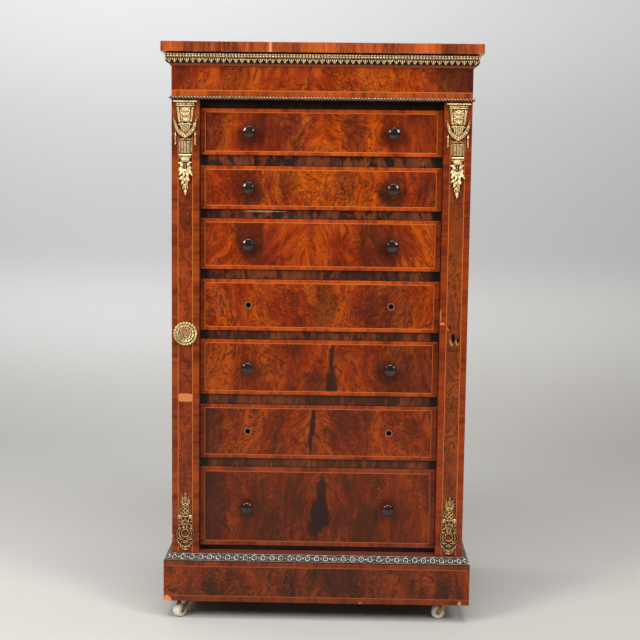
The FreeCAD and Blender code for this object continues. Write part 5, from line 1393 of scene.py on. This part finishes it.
def mitred_strips(pattern, surface, height, reach, step):
    """Field, heights and mapping of a front strip and two returns.

    surface turns (distance up the strip, height) into (distance out from the face, place upwards).
    """
    front_end = HALF_WIDTH / MM + reach
    straight = HALF_WIDTH / MM - CORNER_ZONE

    def squeezed(along, out, end, begins):
        """Moves a spot near the corner so that the strip ends on the mitre."""
        if along <= begins:
            return along
        return begins + (along - begins) * (end - reach + out - begins) / (end - begins)

    def on_front(along, up, rise):
        out, z = surface(up, rise)
        x = math.copysign(squeezed(abs(along), out, front_end, straight), along)
        return (x * MM, FACE_Y - out * MM, z * MM)

    def on_side(way):
        front = -FACE_Y / MM + reach
        begins = -FACE_Y / MM - CORNER_ZONE

        def place(along, up, rise):
            out, z = surface(up, rise)
            y = -squeezed(-along, out, front, begins)
            return (way * (HALF_WIDTH + out * MM), y * MM, z * MM)
        return place

    field = strip_field(-front_end, front_end, height, step)
    pieces = [(field, pattern(field), on_front)]
    field = strip_field(FACE_Y / MM - reach, BACK_Y / MM, height, step)
    return pieces + [(field, pattern(field), on_side(way)) for way in (-1, 1)]


print("strips reach from", round(-HALF_WIDTH, 4), "to", round(HALF_WIDTH, 4))

# %% [markdown]
# ## Cornice border
# Under the top runs a gilt border with a slanted bead row, a round bead row and a fringe of
# pointed leaves. The leaves hang over the hollow of the moulding, so they turn inwards.

# %% Cornice border
border_low, border_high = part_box("cornice_border")
BORDER_RISE = (border_high.z - border_low.z) / MM
LEAF_PITCH = 12.4
BEAD_PITCH = 6.2
BAND_THICKNESS = 0.9
LEAF_BEND = 7.2
BORDER_REACH = 12.5
STRIP_STEP = 0.7


def repeat(along, pitch):
    """Distance from the middle of the nearest repeat."""
    return along - pitch * np.round(along / pitch)


def cornice_pattern(field):
    """Beads above, pointed leaves below. The field's zero is at the leaf tips."""
    along, up = field
    near = repeat(along, BEAD_PITCH)
    slanted = repeat(along - 0.55 * (up - BORDER_RISE + 2.0), BEAD_PITCH)
    upper = dome((slanted, up), 0.0, BORDER_RISE - 2.1, 2.7, 1.9, 1.9, BAND_THICKNESS)
    lower = dome((near, up), 0.0, BORDER_RISE - 5.9, 2.6, 1.7, 1.7, BAND_THICKNESS)
    band = np.where(up > BORDER_RISE - 10.0, BAND_THICKNESS, 0)
    rib = dome((near, up), 0.0, BORDER_RISE - 9.0, 2.4, 0.9, 0.8, BAND_THICKNESS)
    spot = np.abs(repeat(along, LEAF_PITCH))
    leaf_top = BORDER_RISE - 10.4
    share = np.clip((up - 2.0) / (leaf_top - 2.0), 0, 1)
    half = LEAF_PITCH / 2 * share ** 0.7
    rim = 1.5 * np.exp(-((half - spot - 1.0) / 0.8) ** 2)
    midrib = 1.6 * np.exp(-(spot / 0.9) ** 2)
    body = np.where((spot < half) & (up < leaf_top), 0.8 + np.maximum(rim, midrib), 0)
    return highest(upper, lower, band, rib, body)


def cornice_surface(up, rise):
    """Upright band above the bend. Below it the leaves turn in over the hollow."""
    z = border_low.z / MM + up
    if up > LEAF_BEND:
        out = 9.6 + 1.4 * (up - LEAF_BEND) / (BORDER_RISE - LEAF_BEND)
    else:
        out = 5.1 + 4.5 * (up / LEAF_BEND) ** 0.8
    return out + rise, z


pieces = mitred_strips(cornice_pattern, cornice_surface, BORDER_RISE, BORDER_REACH, STRIP_STEP)
mesh = field_mesh("gilt_cornice_border", pieces, border_gilt)
add_piece("cornice_border_strip", mesh, "cornice_border")
print("cornice border:", len(mesh.polygons), "faces")

# %% [markdown]
# ## Plinth border
# The slope of the plinth moulding carries a pierced band of rings joined by crossing ribbons,
# between two plain wires. The dark moulding shows through the gaps.

# %% Plinth border
slope_low, slope_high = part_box("plinth_border")
SLOPE_OUT = 14.8
SLOPE_RUN = 11.0
SLOPE_RISE = (slope_high.z - slope_low.z) / MM
SLOPE_LENGTH = math.hypot(SLOPE_RUN, SLOPE_RISE)
SLOPE_CLEARANCE = 0.05
SLOPE_REACH = 16.0
RING_PITCH = 18.7
RING_RADIUS = 4.6
WAVE_REACH = 5.7
WIRE_HALF_WIDTH = 0.9


def half_round(off, half_width, height):
    """A wire with a half-round top, from the distance to its middle line."""
    share = np.clip(1 - (off / half_width) ** 2, 0, 1)
    return np.where(off < half_width, 0.5 + height * np.sqrt(share), 0)


def guilloche_pattern(field):
    """Rings at a steady pitch, two waves of ribbon round them, and wires at both edges."""
    along, up = field
    middle = SLOPE_LENGTH / 2
    near = repeat(along, RING_PITCH)
    rings = half_round(np.abs(np.hypot(near, up - middle) - RING_RADIUS), 1.25, 1.3)
    heart = dome((near, up), 0.0, middle, 1.7, 1.7, 1.2, 0.5)
    result = [rings, heart]
    for way in (-1, 1):
        wave = middle + way * WAVE_REACH * np.cos(math.pi * along / RING_PITCH)
        slope = 1 + (WAVE_REACH * math.pi / RING_PITCH * np.sin(math.pi * along / RING_PITCH)) ** 2
        result.append(half_round(np.abs(up - wave) / np.sqrt(slope), WIRE_HALF_WIDTH, 0.8))
    for edge in (WIRE_HALF_WIDTH, SLOPE_LENGTH - WIRE_HALF_WIDTH):
        result.append(half_round(np.abs(up - edge), WIRE_HALF_WIDTH, 1.0))
    return highest(*result)


def slope_surface(up, rise):
    """Up the slope and out from it."""
    share = up / SLOPE_LENGTH
    lifted = rise + SLOPE_CLEARANCE
    lean_out, lean_up = SLOPE_RISE / SLOPE_LENGTH, SLOPE_RUN / SLOPE_LENGTH
    out = SLOPE_OUT - SLOPE_RUN * share + lifted * lean_out
    return out, slope_low.z / MM + SLOPE_RISE * share + lifted * lean_up


pieces = mitred_strips(guilloche_pattern, slope_surface, SLOPE_LENGTH, SLOPE_REACH, STRIP_STEP)
mesh = field_mesh("silvered_plinth_border", pieces, pale_brass)
add_piece("plinth_border_strip", mesh, "plinth_border")
print("plinth border:", len(mesh.polygons), "faces")

# %% [markdown]
# ## Twisted rope
# The moulding under the frieze is a rope of gilt brass: a round bar, flat at the back, with
# strands that wind along it. Each ring of its mesh is most of a circle, whose radius swells over
# every strand, and the swelling turns a little from ring to ring.

# %% Rope moulding
rope_low, rope_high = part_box("rope_moulding")
ROPE_RADIUS = (rope_high.z - rope_low.z) / 2 / MM
ROPE_MIDDLE = (rope_high.z + rope_low.z) / 2 / MM
ROPE_CENTRE_OUT = -(rope_low.y - FACE_Y) / MM - ROPE_RADIUS
ROPE_STEP = 0.8
ROPE_ARC = 260
STRAND_PITCH = 6.4
STRAND_TURN = 1.3
STRAND_DEPTH = 0.24
SIDES_OF_RING = 18


def rope_length(built, hollow, start, end, along_front, way=1):
    """One length of rope. It starts and ends on the mitre or, at the back, square."""
    steps = int((end - start) / ROPE_STEP)
    rings = []
    for step in range(steps + 1):
        nominal = start + (end - start) * (step / steps)
        ring = []
        for side in range(SIDES_OF_RING + 1):
            angle = math.radians(-ROPE_ARC / 2 + ROPE_ARC * side / SIDES_OF_RING)
            wind = math.pi * (nominal * way / STRAND_PITCH + STRAND_TURN * math.degrees(angle) / 180)
            swell = abs(math.cos(wind)) ** 0.6
            radius = ROPE_RADIUS * (1 - STRAND_DEPTH + STRAND_DEPTH * swell)
            out = max(0.0, ROPE_CENTRE_OUT + radius * math.cos(angle))
            up = ROPE_MIDDLE + radius * math.sin(angle)
            if along_front:
                limit = HALF_WIDTH / MM + out
                place = (max(-limit, min(limit, nominal)), FACE_Y / MM - out, up)
            else:
                place = (way * (HALF_WIDTH / MM + out), max(FACE_Y / MM - out, nominal), up)
            ring.append(built.verts.new([value * MM for value in place]))
            # The grooves between strands are marked hollow, for grime and painted shade.
            ring[-1][hollow] = 1.0 - 0.85 * swell ** 2
        rings.append(ring)
    for first, second in zip(rings, rings[1:]):
        for side in range(SIDES_OF_RING + 1):
            following = (side + 1) % (SIDES_OF_RING + 1)
            built.faces.new([first[side], second[side], second[following], first[following]])
    built.faces.new(rings[0])
    built.faces.new(rings[-1][::-1])


built = bmesh.new()
hollow = built.verts.layers.float.new("hollow")
rope_reach = HALF_WIDTH / MM + ROPE_CENTRE_OUT + ROPE_RADIUS
rope_length(built, hollow, -rope_reach, rope_reach, True)
for way in (-1, 1):
    rope_length(built, hollow, FACE_Y / MM - ROPE_CENTRE_OUT - ROPE_RADIUS, BACK_Y / MM, False, way)
bmesh.ops.remove_doubles(built, verts=built.verts, dist=0.02 * MM)
bmesh.ops.dissolve_degenerate(built, edges=built.edges, dist=0.01 * MM)
mesh = finished_mesh("gilt_rope", built, dark_gilt)
add_piece("rope_moulding_strip", mesh, "rope_moulding")
print("rope:", len(mesh.polygons), "faces")

# %% [markdown]
# ## Softened edges
# No hand-made board has a knife edge. A narrow bevel on each polished board gives the edges their
# thin line of light. It is a modifier, so the solid itself stays as it was drawn.

# %% Softened edges
SOFT_EDGE = 0.5 * MM
POLISHED = ["top_board", "frieze", "side_left", "side_right", "fixed_stile", "locking_stile", "plinth_frame",
            "plinth_moulding", "cornice_moulding", "end_rails", "drawer_rails"]
for node in POLISHED + [f"drawer_{number}_front" for number in DRAWERS]:
    soften = frame["nodes"][node].modifiers.new("softened_edges", "BEVEL")
    soften.width = SOFT_EDGE
    soften.segments = 2
    soften.limit_method = "ANGLE"
    soften.angle_limit = math.radians(40)
    soften.use_clamp_overlap = True
    soften.harden_normals = True
print("softened", len(POLISHED) + len(DRAWERS), "solids")

# %% [markdown]
# ## Studio
# A pale sheet runs from the floor up behind the chest in one sweep, so no line crosses the
# picture. Two large soft lamps stand left and right in front, one hangs above, and a fourth
# lights the sheet. Each of the first three makes a soft light on a knob, and the polish on the
# drawers shows them as a gentle sheen.

# %% Backdrop
SWEEP_START_Y = 1.6
SWEEP_RADIUS = 1.2
SWEEP_HALF_WIDTH = 6.0
SWEEP_FRONT_Y = -5.0
SWEEP_TOP = 4.5
SWEEP_STEPS = 24
outline = [(SWEEP_FRONT_Y, 0.0)]
for step in range(SWEEP_STEPS + 1):
    turn = math.radians(90 * step / SWEEP_STEPS)
    outline.append((SWEEP_START_Y + SWEEP_RADIUS * math.sin(turn), SWEEP_RADIUS * (1 - math.cos(turn))))
outline.append((SWEEP_START_Y + SWEEP_RADIUS, SWEEP_TOP))
corners = [(side * SWEEP_HALF_WIDTH, y, z) for y, z in outline for side in (-1, 1)]
faces = [(2 * i, 2 * i + 1, 2 * i + 3, 2 * i + 2) for i in range(len(outline) - 1)]
sweep_mesh = bpy.data.meshes.new("paper_sweep")
sweep_mesh.from_pydata(corners, [], faces)
for face in sweep_mesh.polygons:
    face.use_smooth = True
sweep = bpy.data.objects.new("paper_sweep", sweep_mesh)
bpy.context.scene.collection.objects.link(sweep)
material, tree, shader, place = new_material("backdrop_paper", "top")
across, backward, height = split(tree, place)
smudges = noise(tree, place, 1.2, 3.0, 0.5)
paper = colour(194, 191, 186)
# Painted light and shade: darker further back on the floor, a lighter band just above the floor, a darker
# band above that, and lighter high up.
for way, low, high, tint in ((smudges, 0.3, 0.75, colour(198, 195, 190)),
                             (backward, -0.4, 1.3, colour(186, 184, 180)),
                             (height, 0.02, 0.34, colour(205, 204, 203)),
                             (height, 0.38, 0.62, colour(188, 188, 189)),
                             (height, 0.6, 1.7, colour(216, 218, 220))):
    paper = blend_colours(tree, soft_step(tree, way, low, high), paper, tint)
# Painted shade: the paper darkens towards the right.
painted_shade_right = calc(tree, "MULTIPLY", soft_step(tree, across, -1.2, 1.4), 0.3)
paper = blend_colours(tree, painted_shade_right, paper, colour(150, 146, 140))
tree.links.new(paper, shader.inputs["Base Color"])
shader.inputs["Roughness"].default_value = 0.75
shader.inputs["Specular IOR Level"].default_value = 0.2
add_bump(tree, shader, noise(tree, place, 700.0, 2.0), 0.05, 0.0002)
sweep_mesh.materials.append(material)
print("backdrop ready")


# %% Lamps and sky
def soft_lamp(name, place, aim, width, height, power):
    """A large rectangular lamp that looks at aim."""
    lamp = bpy.data.lights.new(name, "AREA")
    lamp.shape = "RECTANGLE"
    lamp.size = width
    lamp.size_y = height
    lamp.energy = power
    lamp_object = bpy.data.objects.new(name, lamp)
    lamp_object.location = place
    lamp_object.rotation_euler = (Vector(aim) - Vector(place)).to_track_quat("-Z", "Y").to_euler()
    bpy.context.scene.collection.objects.link(lamp_object)


middle = Vector((0.0, 0.0, 0.6))
soft_lamp("left_softbox", (-2.3, -2.3, 2.3), middle, 1.0, 1.5, 84.0)
soft_lamp("right_softbox", (2.3, -2.3, 2.3), middle, 1.0, 1.5, 70.0)
soft_lamp("overhead_softbox", (0.0, -1.5, 3.6), middle, 2.4, 1.2, 80.0)
soft_lamp("backdrop_lamp", (-0.8, 0.4, 3.8), (-0.4, 2.6, 1.6), 4.0, 0.8, 66.0)
world = bpy.data.worlds.new("pale_room")
world.use_nodes = True
sky = world.node_tree.nodes["Background"]
sky.inputs["Color"].default_value = colour(224, 224, 224)
sky.inputs["Strength"].default_value = 0.13
bpy.context.scene.world = world
bpy.context.scene.view_settings.view_transform = "Standard"
print("lamps ready")

# %% [markdown]
# ## Camera
# The camera stands about three metres in front, at the height of the upper drawers, five
# centimetres right of the middle, and looks slightly down. It leans by less than a degree, as
# hand-held ones do.

# %% Camera
CAMERA_PLACE = (0.0486, -2.9053, 0.9529)
CAMERA_DOWN = math.radians(6.598)
CAMERA_LEFT = math.radians(0.996)
CAMERA_LEAN = math.radians(0.666)
camera = bpy.data.cameras.new("studio_camera")
camera.lens = 74.57
camera.sensor_width = 36.0
camera_object = bpy.data.objects.new("studio_camera", camera)
level_turn = Matrix.Rotation(CAMERA_LEFT, 4, "Z")
tilt = Matrix.Rotation(math.radians(90) - CAMERA_DOWN, 4, "X")
lean = Matrix.Rotation(CAMERA_LEAN, 4, "Z")
camera_object.matrix_world = Matrix.Translation(CAMERA_PLACE) @ level_turn @ tilt @ lean
bpy.context.scene.collection.objects.link(camera_object)
bpy.context.scene.camera = camera_object
print("camera ready")
